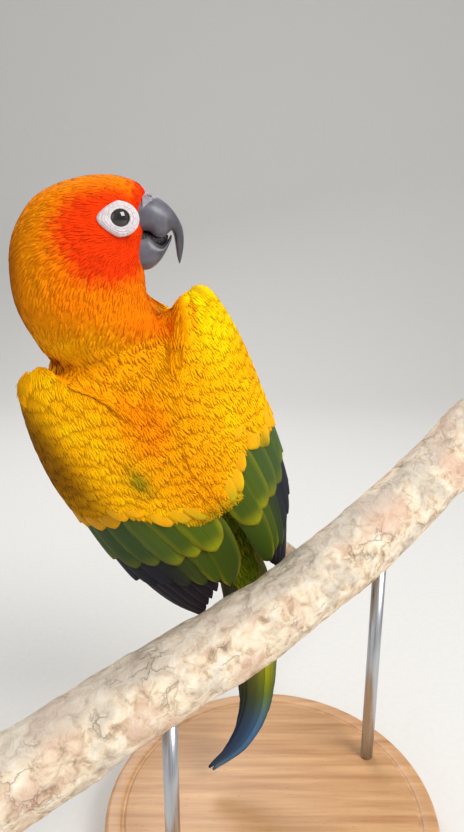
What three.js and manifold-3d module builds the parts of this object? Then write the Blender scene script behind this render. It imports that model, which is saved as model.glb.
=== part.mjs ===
// A sun conure, life size, as a still display model. It clings to a cut length of branch with its back
// turned, looks over its right shoulder and lets its tail hang behind the branch. A flat base and two
// rods carry the branch.
// Units are millimetres, +Z is up and the origin is the middle of the base's underside.
import * as THREE from 'three';
import { mergeVertices } from 'three/addons/utils/BufferGeometryUtils.js';
import Module from 'manifold-3d';

const wasm = await Module();
wasm.setup();

// Clearance left between pieces that touch.
const GAP = 0.32;
// Detail smaller than this is smoothed away where forms are joined.
const SLIVER = 0.02;

// The bird's own frame: +x is its right side, +y runs to its head, +z is its back.
const BODY_CENTRE = new THREE.Vector3(-41.3, 4.5, 187);
const BODY_LEAN = [106.1, 21.6, 23.8].map(THREE.MathUtils.degToRad);

// The head's own frame: +x is the way the bill points, +z is up and its right side is -y.
const HEAD_CENTRE = new THREE.Vector3(-60, -38.5, 262);
const HEAD_TURN = THREE.MathUtils.degToRad(9.8);

// Head and neck sections in the head's frame: [z, nape x, face x, half width, middle y].
const HEAD = [
  [18.5, 4.5, 6.5, 1, 0],
  [17.7, -1, 12.5, 6, 0],
  [16, -7, 17, 9, 0],
  [13.5, -12, 18.9, 11.6, 0],
  [10, -16, 19, 13.3, 0],
  [5, -19.5, 18.4, 14.5, 0],
  [0, -22, 17.9, 15.2, 0],
  [-6, -23.2, 17.6, 15.6, 0.2],
  [-12, -23.5, 17.8, 16, 1],
  [-18, -23.2, 18.4, 17, 2.6],
  [-24, -21.7, 20.8, 18.5, 5.5],
  [-30, -19.4, 22.4, 18.5, 9.5],
  [-37, -16.4, 21, 15, 13],
];
// Share by which a section narrows towards the face, and how blunt the face is (1 is an ellipse).
const FACE_NARROWING = 0.2;
const FACE_BLUNTNESS = 0.7;
// Height at which the head ends and the neck begins.
const HEAD_BASE = -17;

// Eyes: the ball, the place of its middle on the side of the head and how deep it sits under the skin.
const EYE_RADIUS = 3.5;
const EYE_PLACE = { x: 9.9, z: 5.1 };
const EYE_DEPTH = 1.9;
// Share by which the eye looks straight to the side rather than square to the cheek.
const EYE_FACING = 0.6;
// The lid's edge about the ball, and the bare skin about that, drawn out to a corner at the back.
const LID = { radius: 2.9, thickness: 0.5, rise: 0.45 };
const BARE_RING = { long: 5.9, high: 4.9, rise: 1.5, sink: 0.35, back: 0.35, corner: 0.35 };

// Bill in the head's frame: [ridge x, ridge z, cutting edge x, cutting edge z, half width], the
// upper from the brow to the hook and the lower from the throat to its rim.
const UPPER_BILL = [
  [14, 12, 14, 1.5, 6.4], [19.1, 11.6, 18, 1.4, 6.3], [21.5, 10.8, 20.4, 0.3, 5.9],
  [23.6, 9.4, 22.4, 0.2, 5.2], [25.5, 7.4, 23.8, 1, 4.3], [27, 5.2, 24.7, 1.6, 3.4],
  [28.1, 2.8, 25.4, 0.2, 2.6], [28.5, 0.2, 25.9, -1.4, 2], [28.4, -2.8, 26.2, -3.7, 1.4],
  [27.9, -5.6, 26.5, -5.9, 0.8], [27.3, -7.7, 27, -7.7, 0.25],
];
const LOWER_BILL = [
  [14, -9.6, 14, -0.2, 5.2], [17.6, -9.5, 17.6, -0.1, 5.1], [19.6, -8.7, 18.9, -1.2, 4.9],
  [21.2, -7.3, 20.2, -2.5, 4.5], [22.4, -5.7, 21.4, -3.2, 3.9], [23.5, -3.9, 22.6, -2.6, 3],
  [24.3, -2.2, 23.6, -1.5, 2], [24.6, -0.9, 24.3, -0.6, 0.8],
];
// Nostrils: the place of the left one and the radius of both.
const NOSTRIL = { x: 19.3, y: 3.1, z: 10.4, radius: 0.75 };

// Trunk sections from the neck to the rump: [y, x, z, half width, rise of the back, drop of the belly].
const TRUNK = [
  [61, 0.5, 3, 17, 19, 16],
  [56, 0, 3, 21.5, 22.5, 20],
  [46, -0.5, 1, 26, 25.5, 25],
  [30, -1, -1, 28.5, 26.5, 28],
  [10, -2, -2, 29, 25.5, 28],
  [-12, -2, -2, 26.5, 23.5, 26],
  [-30, -1, 1, 20.5, 17.5, 20],
  [-43, 0, 5, 13.5, 11, 13],
  [-51, 0.5, 7, 8.5, 7, 8],
];

// Wing sections from the wrist to the tip: [y, outer edge x, its z, inner edge x, its z].
const LEFT_WING = [
  [62, -25, 15, -20.5, 18],
  [59.5, -29, 13.5, -19, 21],
  [54, -33.3, 11.5, -16.5, 25],
  [46, -37, 9, -11, 28],
  [30, -42, 6, -6, 29],
  [10, -45.8, 4, -2.6, 28.6],
  [-12, -46.8, 4, -0.6, 26.8],
  [-32, -46.4, 5, 1.2, 24.8],
  [-52, -44.5, 7, -0.5, 23],
  [-70, -39.8, 10, -7, 21.5],
  [-87, -31, 13.5, -19, 19],
];
const RIGHT_WING = [
  [58.6, 31.5, 15.5, 28, 18],
  [56, 34.5, 14.2, 26, 20.5],
  [51.5, 37.8, 12.2, 23, 24.3],
  [43, 39.8, 10, 17, 27.6],
  [26, 41, 7, 8, 29],
  [6, 40.6, 5, 1, 28.4],
  [-12, 39.6, 4.5, 2.6, 26.6],
  [-32, 36.6, 4.5, 4.4, 24.6],
  [-52, 31.5, 5.5, 5, 23],
  [-70, 23.5, 8, 4.5, 21.5],
  [-88, 13.5, 12, 3, 19.5],
  [-99, 6.5, 15, 1.5, 18.5],
];
// Middle line of the wing's front edge: [distance below the wing's top, in from its outer edge, z].
const WRIST = [
  [2.4, 2.5, 14.5],
  [9, 5, 12.5],
  [26, 5, 9],
  [48, 4.5, 6],
];
const WRIST_RADIUS = 6.2;
const WRIST_END_RADIUS = 2.5;
// The wing's flesh: its depth, the greater depth of the shoulder, the y where the shoulder is deepest
// and where it ends, the y where the flesh ends, and how far it lies under the tiers of feathers.
const WING_CORE = { depth: 3.6, shoulder: 11, deepest: 50, shoulderEnd: 26, end: -6, sink: 2.2 };

// Tiers of a folded wing, from the lowest to the topmost. Each pair gives the outermost and the
// innermost feather. y runs along the bird, t over the wing from its outer edge (0) to its inner
// edge (1), half is half the width, and lift is the height over the wing's outer surface.
const WING_TIERS = {
  primaries: {
    count: 6, pointed: true, half: [4.4, 4.8],
    root: { y: [0, -3], t: [0.07, 0.55], lift: -4.2 }, tip: { y: [-88, -66], t: [0.16, 0.78], lift: -2 },
  },
  secondaries: {
    count: 7, pointed: false, half: [5.4, 5.8],
    root: { y: [4, 6], t: [0.1, 0.88], lift: -4 }, tip: { y: [-46, -72], t: [0.1, 0.88], lift: -0.7 },
  },
  greaterCoverts: {
    count: 6, pointed: false, half: [5.2, 5.8],
    root: { y: [14, 10], t: [0.07, 0.84], lift: -3.6 }, tip: { y: [-31, -42], t: [0.08, 0.82], lift: -0.6 },
  },
  medianCoverts: {
    count: 6, pointed: false, half: [5.2, 5.6],
    root: { y: [31, 25], t: [0.07, 0.76], lift: -3.4 }, tip: { y: [-11, -24], t: [0.08, 0.76], lift: -0.5 },
  },
  scapulars: {
    count: 3, pointed: false, half: [5, 5.2],
    root: { y: [38, 30], t: [0.8, 0.93], lift: -2.6 }, tip: { y: [-8, -27], t: [0.8, 0.92], lift: -0.1 },
  },
};
// Outline of a vane: share of its length, and its half width as a share of the full one.
const POINTED_VANE = [[0, 0.6], [0.3, 0.95], [0.62, 1], [0.86, 0.72], [1, 0.2]];
const ROUNDED_VANE = [[0, 0.6], [0.45, 1], [0.84, 0.9], [1, 0.4]];
const VANE_THICKNESS = 0.55;
const VANE_TIP_THICKNESS = 0.36;
// How far a vane's outer edge stands over its middle, so that it covers the next one outward.
const VANE_TILT = 0.62;

// The tail's middle line from the rump to the tip of the longest pair, in the model's own frame.
const TAIL_LINE = [
  [-24, 23.5, 146],
  [-14.5, 28.5, 124],
  [-7.5, 26.5, 98],
  [-5, 19.5, 70],
  [-6.5, 16, 50],
  [-14, 12.5, 35],
  [-27, 9, 24.5],
].map((point) => new THREE.Vector3(...point));
// Lengths of the six pairs as shares of the middle pair's, and their spread and stacking.
const TAIL_PAIRS = [1, 0.93, 0.84, 0.74, 0.64, 0.54];
const TAIL_VANE = { half: 4.7, root: 0.16, spread: 1.35, first: 1.7, stack: 0.8 };
// The coverts at the tail's root, as one form.
const TAIL_ROOT = { end: 0.34, wide: 10, deep: 4.6 };

// The branch's middle line, cut square at both ends, and the short limb that the feet hold.
const PERCH_LINE = [
  [-101, -73, 89],
  [-55, -42.5, 102.7],
  [-4, -9.5, 116.8],
  [40.5, 22, 135],
  [74, 47, 154],
  [104, 69, 174],
].map((point) => new THREE.Vector3(...point));
const PERCH_RADIUS = 14.8;
const LIMB_LINE = [
  [8, 4, 116],
  [19, 22, 104.5],
  [14, 42, 108],
  [-6, 50, 124],
  [-28, 51.5, 134],
  [-52, 49, 138],
].map((point) => new THREE.Vector3(...point));
const LIMB_RADIUS = 6.6;

// The display stand.
const BASE_RADIUS = 74;
const BASE_HEIGHT = 14;
const BASE_EDGE = 2;
const ROD_RADIUS = 3;
const ROD_SHARES = { left: 0.28, right: 0.71 };

// Legs: where each thigh leaves the belly, its heel, and the place of its foot along the limb (0 to 1).
const LEGS = {
  left: { hip: [-13, -12, -17], heel: [-46, 39.5, 153], grip: 0.86 },
  right: { hip: [13, -16, -17], heel: [-18, 41, 151.5], grip: 0.65 },
};
// Toes, two forward and two back: place along the limb at the palm and at the claw, and the turn
// about the limb.
const TOES = [
  { palm: -1.6, claw: -5.2, turn: 2.5 },
  { palm: 1.4, claw: 4.6, turn: 2.2 },
  { palm: -1.3, claw: -4.3, turn: -2 },
  { palm: 1.6, claw: 5.6, turn: -2.3 },
];
const TOE_RADIUS = 1.95;
const CLAW_RADIUS = 1.3;
const TARSUS_RADIUS = 2.3;
const PALM_TURN = -0.25;

const FINISHES = {
  head: [0xe8620c, 0.85, 0],
  neck: [0xe88a08, 0.85, 0],
  torso: [0xe89a0c, 0.85, 0],
  wing: [0xd9ae0a, 0.75, 0],
  tail: [0x46642a, 0.7, 0],
  bill: [0x6f6d74, 0.45, 0],
  eye: [0x1c1718, 0.1, 0],
  foot: [0x8a7a70, 0.75, 0],
  bark: [0xcdb694, 0.95, 0],
  wood: [0xb98a5a, 0.55, 0],
  steel: [0xb8bbbd, 0.35, 1],
};

// A frame row of numbers at place y, read smoothly from rows sorted from high y to low.
function rowAt(rows, y) {
  const last = rows.length - 2;
  let index = rows.findIndex((row, i) => i <= last && y >= rows[i + 1][0]);
  if (index < 0) {
    index = last;
  }
  const span = rows[index][0] - rows[index + 1][0];
  const t = THREE.MathUtils.clamp((rows[index][0] - y) / span, 0, 1);
  const before = rows[Math.max(index - 1, 0)];
  const after = rows[Math.min(index + 2, rows.length - 1)];
  return rows[index].map((value, k) => {
    const end = rows[index + 1][k];
    const m0 = ((end - before[k]) / (before[0] - rows[index + 1][0])) * span;
    const m1 = ((after[k] - value) / (rows[index][0] - after[0])) * span;
    const t2 = t * t;
    const t3 = t2 * t;
    return (2 * t3 - 3 * t2 + 1) * value + (t3 - 2 * t2 + t) * m0
      + (3 * t2 - 2 * t3) * end + (t3 - t2) * m1;
  });
}

// A closed skin over rings of equal count; each end is a fan about the ring's middle.
function skin(rings) {
  const count = rings[0].length;
  const points = rings.flat();
  const triangles = [];
  for (let r = 0; r + 1 < rings.length; r += 1) {
    for (let i = 0; i < count; i += 1) {
      const a = r * count + i;
      const b = r * count + ((i + 1) % count);
      triangles.push(a, b, b + count, a, b + count, a + count);
    }
  }
  const middle = (ring) => ring.reduce((sum, p) => sum.add(p), new THREE.Vector3())
    .divideScalar(count);
  const first = points.push(middle(rings[0])) - 1;
  const last = points.push(middle(rings[rings.length - 1])) - 1;
  const base = (rings.length - 1) * count;
  for (let i = 0; i < count; i += 1) {
    const next = (i + 1) % count;
    triangles.push(first, next, i, last, base + i, base + next);
  }
  const geometry = new THREE.BufferGeometry().setFromPoints(points);
  geometry.setIndex(triangles);
  return geometry;
}

// A manifold solid of a closed geometry, turned the right way out.
function solid(geometry) {
  const plain = geometry.clone();
  plain.deleteAttribute('normal');
  plain.deleteAttribute('uv');
  const merged = mergeVertices(plain, 1e-4);
  const index = merged.index.array;
  const place = merged.getAttribute('position');
  const a = new THREE.Vector3();
  const b = new THREE.Vector3();
  const c = new THREE.Vector3();
  let volume = 0;
  for (let i = 0; i < index.length; i += 3) {
    a.fromBufferAttribute(place, index[i]);
    b.fromBufferAttribute(place, index[i + 1]);
    c.fromBufferAttribute(place, index[i + 2]);
    volume += a.dot(b.cross(c));
  }
  const triVerts = Uint32Array.from(index);
  if (volume < 0) {
    for (let i = 0; i < triVerts.length; i += 3) {
      [triVerts[i + 1], triVerts[i + 2]] = [triVerts[i + 2], triVerts[i + 1]];
    }
  }
  const vertProperties = Float32Array.from(place.array);
  return new wasm.Manifold(new wasm.Mesh({ numProp: 3, vertProperties, triVerts }));
}

function joined(geometries) {
  return geometries.map(solid).reduce((sum, piece) => sum.add(piece));
}

// The largest closed surface of a solid, as a geometry, with its slivers taken up.
function geometryOf(body) {
  const pieces = body.simplify(SLIVER).decompose();
  pieces.sort((p, q) => Math.abs(q.volume()) - Math.abs(p.volume()));
  const mesh = pieces[0].getMesh();
  const geometry = new THREE.BufferGeometry();
  geometry.setAttribute('position', new THREE.BufferAttribute(Float32Array.from(mesh.vertProperties), 3));
  geometry.setIndex(Array.from(mesh.triVerts));
  return geometry;
}

function moved(geometry, matrix) {
  return geometry.clone().applyMatrix4(matrix);
}

function smooth(t) {
  return t * t * (3 - 2 * t);
}

// An ellipse-like ring across the bird's y axis from a trunk or neck row.
function trunkRing(row, count, grow) {
  const [y, x, z, half, rise, drop] = row;
  const ring = [];
  for (let i = 0; i < count; i += 1) {
    const angle = (i / count) * 2 * Math.PI;
    const depth = Math.sin(angle) > 0 ? rise : drop;
    ring.push(new THREE.Vector3(
      x + (half + grow) * Math.cos(angle),
      y,
      z + (depth + grow) * Math.sin(angle),
    ));
  }
  return ring;
}

function trunkForm(rows, steps, count, grow) {
  const rings = [];
  const top = rows[0][0];
  const bottom = rows[rows.length - 1][0];
  for (let i = 0; i <= steps; i += 1) {
    rings.push(trunkRing(rowAt(rows, top + ((bottom - top) * i) / steps), count, grow));
  }
  return skin(rings);
}

// Frames of a curve: at each share of its length the place, the direction and two directions across.
function alongCurve(points, shares, across) {
  const curve = new THREE.CatmullRomCurve3(points, false, 'centripetal');
  return shares.map((share) => {
    const place = curve.getPointAt(share);
    const ahead = curve.getTangentAt(share);
    const side = across.clone().addScaledVector(ahead, -across.dot(ahead)).normalize();
    const over = new THREE.Vector3().crossVectors(side, ahead);
    return { place, ahead, side, over };
  });
}

function evenShares(count) {
  return Array.from({ length: count + 1 }, (unused, i) => i / count);
}

// A tube of changing section along a curve; size(share) gives [half width, half depth].
function tube(points, steps, count, across, size) {
  const frames = alongCurve(points, evenShares(steps), across);
  const rings = frames.map(({ place, side, over }, k) => {
    const [wide, deep] = size(k / steps);
    return Array.from({ length: count }, (unused, i) => {
      const angle = (i / count) * 2 * Math.PI;
      return place.clone()
        .addScaledVector(side, wide * Math.cos(angle))
        .addScaledVector(over, deep * Math.sin(angle));
    });
  });
  return skin(rings);
}

function mesh(name, geometry, finish) {
  const [color, roughness, metalness] = FINISHES[finish];
  const material = new THREE.MeshStandardMaterial({ color, roughness, metalness });
  const piece = new THREE.Mesh(geometry, material);
  piece.name = name;
  return piece;
}

const group = new THREE.Group();
const bird = new THREE.Group();
bird.position.copy(BODY_CENTRE);
bird.rotation.set(...BODY_LEAN);
bird.updateMatrix();
group.add(bird);
const headGroup = new THREE.Group();
headGroup.position.copy(HEAD_CENTRE);
headGroup.rotation.z = HEAD_TURN;
headGroup.updateMatrix();
group.add(headGroup);
const fromHead = headGroup.matrix.clone();
const toBird = bird.matrix.clone().invert();
const headToBird = toBird.clone().multiply(fromHead);

// Head and neck
function headRing(z, count, grow) {
  const [, back, front, half, middle] = rowAt(HEAD, z);
  const centre = (front + back) / 2;
  const reach = (front - back) / 2 + grow;
  return Array.from({ length: count }, (unused, i) => {
    const angle = (i / count) * 2 * Math.PI;
    const cos = Math.cos(angle);
    const narrow = 1 - FACE_NARROWING * Math.max(0, cos) ** 1.5;
    return new THREE.Vector3(
      centre + reach * (cos > 0 ? cos ** FACE_BLUNTNESS : cos),
      middle + (half + grow) * Math.sin(angle) * narrow,
      z,
    );
  });
}

const HEAD_LEVELS = [18.5, 17.7, 16, 13, 9.5, 5, 0, -5, -10, -15, -20, -25, -30, -34, -37];

function headForm(grow) {
  const rings = HEAD_LEVELS.map((z) => headRing(z, 22, grow));
  rings[0].forEach((point) => {
    point.z += grow;
  });
  return skin(rings);
}

// The place on the right side of the head at a given x and z, with its outward direction.
function cheek(x, z) {
  const at = (px, pz) => {
    const [, back, front, half, middle] = rowAt(HEAD, pz);
    const share = THREE.MathUtils.clamp((px - (front + back) / 2) / ((front - back) / 2), -1, 1);
    const cos = share > 0 ? share ** (1 / FACE_BLUNTNESS) : share;
    const narrow = 1 - FACE_NARROWING * Math.max(0, cos) ** 1.5;
    return middle - half * Math.sqrt(1 - cos * cos) * narrow;
  };
  const place = new THREE.Vector3(x, at(x, z), z);
  const step = 0.5;
  const alongX = new THREE.Vector3(2 * step, at(x + step, z) - at(x - step, z), 0);
  const alongZ = new THREE.Vector3(0, at(x, z + step) - at(x, z - step), 2 * step);
  const outward = new THREE.Vector3().crossVectors(alongX, alongZ).normalize();
  outward.lerp(new THREE.Vector3(0, -1, 0), EYE_FACING).normalize();
  return { place, outward };
}

// Everything above a level of the head's frame, as a block wide enough to cut the whole head.
const CUT = 120;
function headAbove(z) {
  const box = new THREE.BoxGeometry(CUT, CUT, CUT);
  box.translate(0, 0, z + CUT / 2);
  return solid(box);
}

const trunk = (grow) => solid(trunkForm(TRUNK, 14, 22, grow));
const headInBird = (grow) => solid(moved(headForm(grow), headToBird));
const fleshClear = trunk(GAP).add(headInBird(GAP));

// Wings
// The length of a quarter ellipse and the angle at each share of that length, from its end on x.
function quarterArc(across, rise, steps = 24) {
  const sums = [0];
  for (let i = 0; i < steps; i += 1) {
    const angle = ((i + 0.5) / steps) * (Math.PI / 2);
    sums.push(sums[i] + Math.hypot(across * Math.sin(angle), rise * Math.cos(angle)));
  }
  const whole = sums[steps];
  const angleAt = (share) => {
    const goal = THREE.MathUtils.clamp(share, 0, 1) * whole;
    const index = Math.min(sums.findIndex((sum, i) => i === steps || sums[i + 1] >= goal), steps - 1);
    const part = (goal - sums[index]) / (sums[index + 1] - sums[index]);
    return ((index + part) / steps) * (Math.PI / 2);
  };
  return { length: (whole * Math.PI) / (2 * steps), angleAt };
}

// A wing's section at y: its girth, and its surface point at share t with a lift over the surface.
function wingSection(rows, y) {
  const [, outerX, outerZ, innerX, innerZ] = rowAt(rows, y);
  const across = outerX - innerX;
  const rise = innerZ - outerZ;
  const { length, angleAt } = quarterArc(across, rise);
  const at = (t, lift) => {
    const angle = angleAt(t);
    const normalX = Math.cos(angle) / across;
    const normalZ = Math.sin(angle) / rise;
    const size = Math.hypot(normalX, normalZ);
    return new THREE.Vector3(
      innerX + across * Math.cos(angle) + (lift * normalX) / size,
      y,
      outerZ + rise * Math.sin(angle) + (lift * normalZ) / size,
    );
  };
  return { girth: length, at };
}

// A closed blade over stations that each hold a row of top points and the row under them. Both broad
// faces are split into triangles alike.
function blade(stations) {
  const width = stations[0].top.length;
  const ring = 2 * width;
  const points = stations.flatMap(({ top, under }) => [...top, ...under]);
  const triangles = [];
  for (let r = 0; r + 1 < stations.length; r += 1) {
    const start = r * ring;
    for (let i = 0; i + 1 < width; i += 1) {
      const a = start + i;
      triangles.push(a, a + 1, a + 1 + ring, a, a + 1 + ring, a + ring);
      const b = a + width;
      triangles.push(b, b + 1 + ring, b + 1, b, b + ring, b + 1 + ring);
    }
    for (const [a, b] of [[start + width, start], [start + width - 1, start + ring - 1]]) {
      triangles.push(a, b, b + ring, a, b + ring, a + ring);
    }
  }
  for (const [start, first, second] of [[0, 2, 1], [points.length - ring, 1, 2]]) {
    for (let i = 0; i + 1 < width; i += 1) {
      const corners = [start + i, start + i + 1, start + i + 1 + width, start + i + width];
      triangles.push(corners[0], corners[first], corners[second]);
      triangles.push(corners[0], corners[first + 1], corners[second + 1]);
    }
  }
  const geometry = new THREE.BufferGeometry().setFromPoints(points);
  geometry.setIndex(triangles);
  return geometry;
}

function wingCore(rows) {
  const { clamp, lerp } = THREE.MathUtils;
  const top = rows[0][0];
  const { depth, shoulder, deepest, shoulderEnd, end, sink } = WING_CORE;
  const stations = evenShares(9).map((along) => {
    const y = lerp(top, end, along);
    const into = smooth(clamp((top - y) / (top - deepest), 0, 1));
    const past = smooth(clamp((deepest - y) / (deepest - shoulderEnd), 0, 1));
    const thick = depth + (shoulder - depth) * into * (1 - past);
    const { at } = wingSection(rows, y);
    const under = (share) => -sink * past - thick * (0.6 + 0.4 * Math.sin(share * Math.PI));
    return {
      top: evenShares(6).map((share) => at(share, -sink * past)),
      under: evenShares(6).map((share) => at(share, under(share))),
    };
  });
  return blade(stations);
}

// The vanes of one tier, outermost first. The primaries reach the tip of their own wing.
function tierVanes(rows, { count, pointed, half, root, tip }) {
  const { lerp } = THREE.MathUtils;
  const reach = pointed ? rows[rows.length - 1][0] / tip.y[0] : 1;
  const outline = pointed ? POINTED_VANE : ROUNDED_VANE;
  return evenShares(count - 1).map((share) => blade(outline.map(([along, breadth]) => {
    const y = lerp(lerp(...root.y, share), lerp(...tip.y, share) * reach, along);
    const t = lerp(lerp(...root.t, share), lerp(...tip.t, share), along);
    const lift = lerp(root.lift, tip.lift, along);
    const thick = lerp(VANE_THICKNESS, VANE_TIP_THICKNESS, along ** 2);
    const { girth, at } = wingSection(rows, y);
    const wide = (lerp(...half, share) * breadth) / girth;
    const across = [Math.max(t - wide, 0), t, Math.min(t + wide, 1)];
    const tilt = [VANE_TILT, 0, -VANE_TILT];
    return {
      top: across.map((place, k) => at(place, lift + tilt[k])),
      under: across.map((place, k) => at(place, lift + tilt[k] - thick)),
    };
  })));
}

function wingForms(rows, sign) {
  const vanes = Object.values(WING_TIERS).flatMap((tier) => tierVanes(rows, tier));
  return [wingCore(rows), wristForm(rows, sign), ...vanes];
}

// The rounded front edge of a folded wing, from the wrist down to the hand.
function wristForm(rows, side) {
  const points = WRIST.map(([below, inward, z]) => {
    const y = rows[0][0] - below;
    const [, outerX] = rowAt(rows, y);
    return new THREE.Vector3(outerX - inward * side, y, z);
  });
  return tube(points, 9, 10, new THREE.Vector3(0, 0, 1), (share) => {
    const end = Math.sqrt(Math.max(0.02, 1 - (1 - Math.min(1, share / 0.14)) ** 2));
    const radius = THREE.MathUtils.lerp(WRIST_RADIUS, WRIST_END_RADIUS, share) * end;
    return [radius * 1.25, radius];
  });
}

// Tail
const TAIL_ACROSS = new THREE.Vector3(0.86, 0.3, 0.1);

function tailRoot() {
  const curve = new THREE.CatmullRomCurve3(TAIL_LINE, false, 'centripetal');
  const { end, wide, deep } = TAIL_ROOT;
  const points = evenShares(5).map((share) => curve.getPointAt(share * end));
  return tube(points, 6, 12, TAIL_ACROSS, (share) => [
    wide * (0.66 + 0.5 * share - 0.62 * share ** 3),
    deep * (1 - 0.72 * share ** 1.5),
  ]);
}

function tailVanes() {
  const { half, root, spread, first, stack } = TAIL_VANE;
  return TAIL_PAIRS.flatMap((length, pair) => [-1, 1].map((sign) => {
    const shares = POINTED_VANE.map(([along]) => THREE.MathUtils.lerp(root, length, along));
    const frames = alongCurve(TAIL_LINE, shares, TAIL_ACROSS);
    const stations = frames.map(({ place, side, over }, k) => {
      const [along, breadth] = POINTED_VANE[k];
      const out = sign * (first + spread * pair) * (0.75 + 0.25 * along);
      const down = stack * pair + 0.2 * sign;
      const thick = THREE.MathUtils.lerp(VANE_THICKNESS, VANE_TIP_THICKNESS, along ** 2);
      const corner = (across, depth) => place.clone()
        .addScaledVector(side, out + across * half * breadth)
        .addScaledVector(over, down + depth);
      return {
        top: [corner(-1, 0), corner(1, 0)],
        under: [corner(-1, thick), corner(1, thick)],
      };
    });
    return blade(stations);
  }));
}

// Perch
function perchForm(grow) {
  return tube(PERCH_LINE, 20, 16, new THREE.Vector3(0, 0, 1), (share) => {
    const lump = 0.8 * Math.sin(share * 21) + 0.5 * Math.sin(share * 47 + 1);
    return [PERCH_RADIUS + lump + grow, PERCH_RADIUS - 0.6 * lump + grow];
  });
}

function limbForm(grow) {
  return tube(LIMB_LINE, 14, 12, new THREE.Vector3(0, 0, 1), (share) => {
    const flare = 3 * Math.max(0, 0.25 - share) / 0.25;
    const radius = LIMB_RADIUS + flare + grow;
    return [radius, radius];
  });
}

const perchClear = joined([perchForm(GAP), limbForm(GAP)]);

// Legs
function footForm(side, grow) {
  const { heel, grip } = LEGS[side];
  const [{ place, ahead }] = alongCurve(LIMB_LINE, [grip], new THREE.Vector3(0, 0, 1));
  const up = new THREE.Vector3(0, -0.35, 1);
  up.addScaledVector(ahead, -up.dot(ahead)).normalize();
  const out = new THREE.Vector3().crossVectors(up, ahead).normalize();
  if (out.y < 0) {
    out.negate();
  }
  const around = (angle, radius, along) => place.clone()
    .addScaledVector(up, Math.cos(angle) * radius)
    .addScaledVector(out, Math.sin(angle) * radius)
    .addScaledVector(ahead, along);
  const palm = around(PALM_TURN, LIMB_RADIUS + TARSUS_RADIUS, 0);
  const ankle = new THREE.Vector3(...heel);
  const pieces = [tube([ankle, ankle.clone().lerp(palm, 0.5), palm], 3, 8, ahead, (share) => {
    const radius = TARSUS_RADIUS - 0.5 * Math.sin(share * Math.PI) + grow;
    return [radius, radius];
  })];
  for (const { palm: near, claw: far, turn } of TOES) {
    const path = evenShares(6).map((share) => around(
      PALM_TURN + turn * share,
      LIMB_RADIUS + TOE_RADIUS - 0.2 * share,
      near * Math.min(1, share * 3) + (far - near) * share,
    ));
    pieces.push(tube(path, 6, 7, ahead, (share) => {
      const radius = TOE_RADIUS - 0.5 * share + grow;
      return [radius, radius];
    }));
    const nail = [
      path[path.length - 1],
      around(PALM_TURN + 1.16 * turn, LIMB_RADIUS + 2.5, 1.05 * far),
      around(PALM_TURN + 1.3 * turn, LIMB_RADIUS + 1.1, 1.1 * far),
    ];
    pieces.push(tube(nail, 3, 6, ahead, (share) => {
      const radius = CLAW_RADIUS * (1 - 0.78 * share) + grow;
      return [radius, radius];
    }));
  }
  return pieces;
}

function thighForm(side) {
  const { hip, heel } = LEGS[side];
  const start = new THREE.Vector3(...hip);
  const end = new THREE.Vector3(...heel).applyMatrix4(toBird);
  const middle = start.clone().lerp(end, 0.5).add(new THREE.Vector3(0, 1.5, -3));
  return tube([start, middle, end], 7, 12, new THREE.Vector3(1, 0, 0), (share) => [
    THREE.MathUtils.lerp(11.5, 3, smooth(share)),
    THREE.MathUtils.lerp(12.5, 3, smooth(share)),
  ]);
}

// Bill, eyes and the bare ring, lid and socket about each eye
// Half of the bill: a rounded ridge over steeper walls that end in the cutting edges.
const BILL_TURNS = evenShares(16).slice(0, -1).map((share) => share * 2 * Math.PI);
const BILL_WALL = 0.6;
function billForm(rows) {
  return skin(rows.map(([ridgeX, ridgeZ, edgeX, edgeZ, half]) => BILL_TURNS.map((turn) => {
    const height = Math.sin(turn);
    const breadth = Math.abs(Math.cos(turn)) ** (height < 0 ? BILL_WALL : 1);
    return new THREE.Vector3(
      (ridgeX + edgeX + height * (ridgeX - edgeX)) / 2,
      half * breadth * Math.sign(Math.cos(turn)),
      (ridgeZ + edgeZ + height * (ridgeZ - edgeZ)) / 2,
    );
  })));
}

// Moves a form made about +z to a place on the head, facing outward, for the right side or the left.
function onCheek(form, outward, place, side) {
  const ahead = new THREE.Vector3(1, 0, 0).addScaledVector(outward, -outward.x).normalize();
  const up = new THREE.Vector3().crossVectors(outward, ahead);
  const matrix = new THREE.Matrix4().makeBasis(ahead, up, outward).setPosition(place);
  const mirror = new THREE.Matrix4().makeScale(1, side === 'left' ? -1 : 1, 1);
  return form.clone().applyMatrix4(matrix).applyMatrix4(mirror);
}

function eyeForm(side, grow) {
  const { place, outward } = cheek(EYE_PLACE.x, EYE_PLACE.z);
  const ball = new THREE.SphereGeometry(EYE_RADIUS + grow, 16, 10);
  ball.rotateX(Math.PI / 2);
  return onCheek(ball, outward, place.addScaledVector(outward, -EYE_DEPTH), side);
}

function lidForm(side) {
  const { place, outward } = cheek(EYE_PLACE.x, EYE_PLACE.z);
  const lid = new THREE.TorusGeometry(LID.radius, LID.thickness, 5, 16);
  lid.translate(0, 0, LID.rise);
  return onCheek(lid, outward, place, side);
}

function bareRingForm(side) {
  const { place, outward } = cheek(EYE_PLACE.x, EYE_PLACE.z);
  const { long, high, rise, sink, back, corner } = BARE_RING;
  const ring = new THREE.SphereGeometry(1, 16, 6);
  ring.rotateX(Math.PI / 2);
  const spot = ring.getAttribute('position');
  for (let i = 0; i < spot.count; i += 1) {
    const x = spot.getX(i);
    const taper = 1 + corner * Math.min(x, 0);
    spot.setXYZ(i, long * x - back, high * spot.getY(i) * taper, rise * spot.getZ(i) - sink);
  }
  return onCheek(ring, outward, place, side);
}

function nostrilForm(sign) {
  const hole = new THREE.SphereGeometry(NOSTRIL.radius, 10, 8);
  hole.translate(NOSTRIL.x, sign * NOSTRIL.y, NOSTRIL.z);
  return hole;
}

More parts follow.
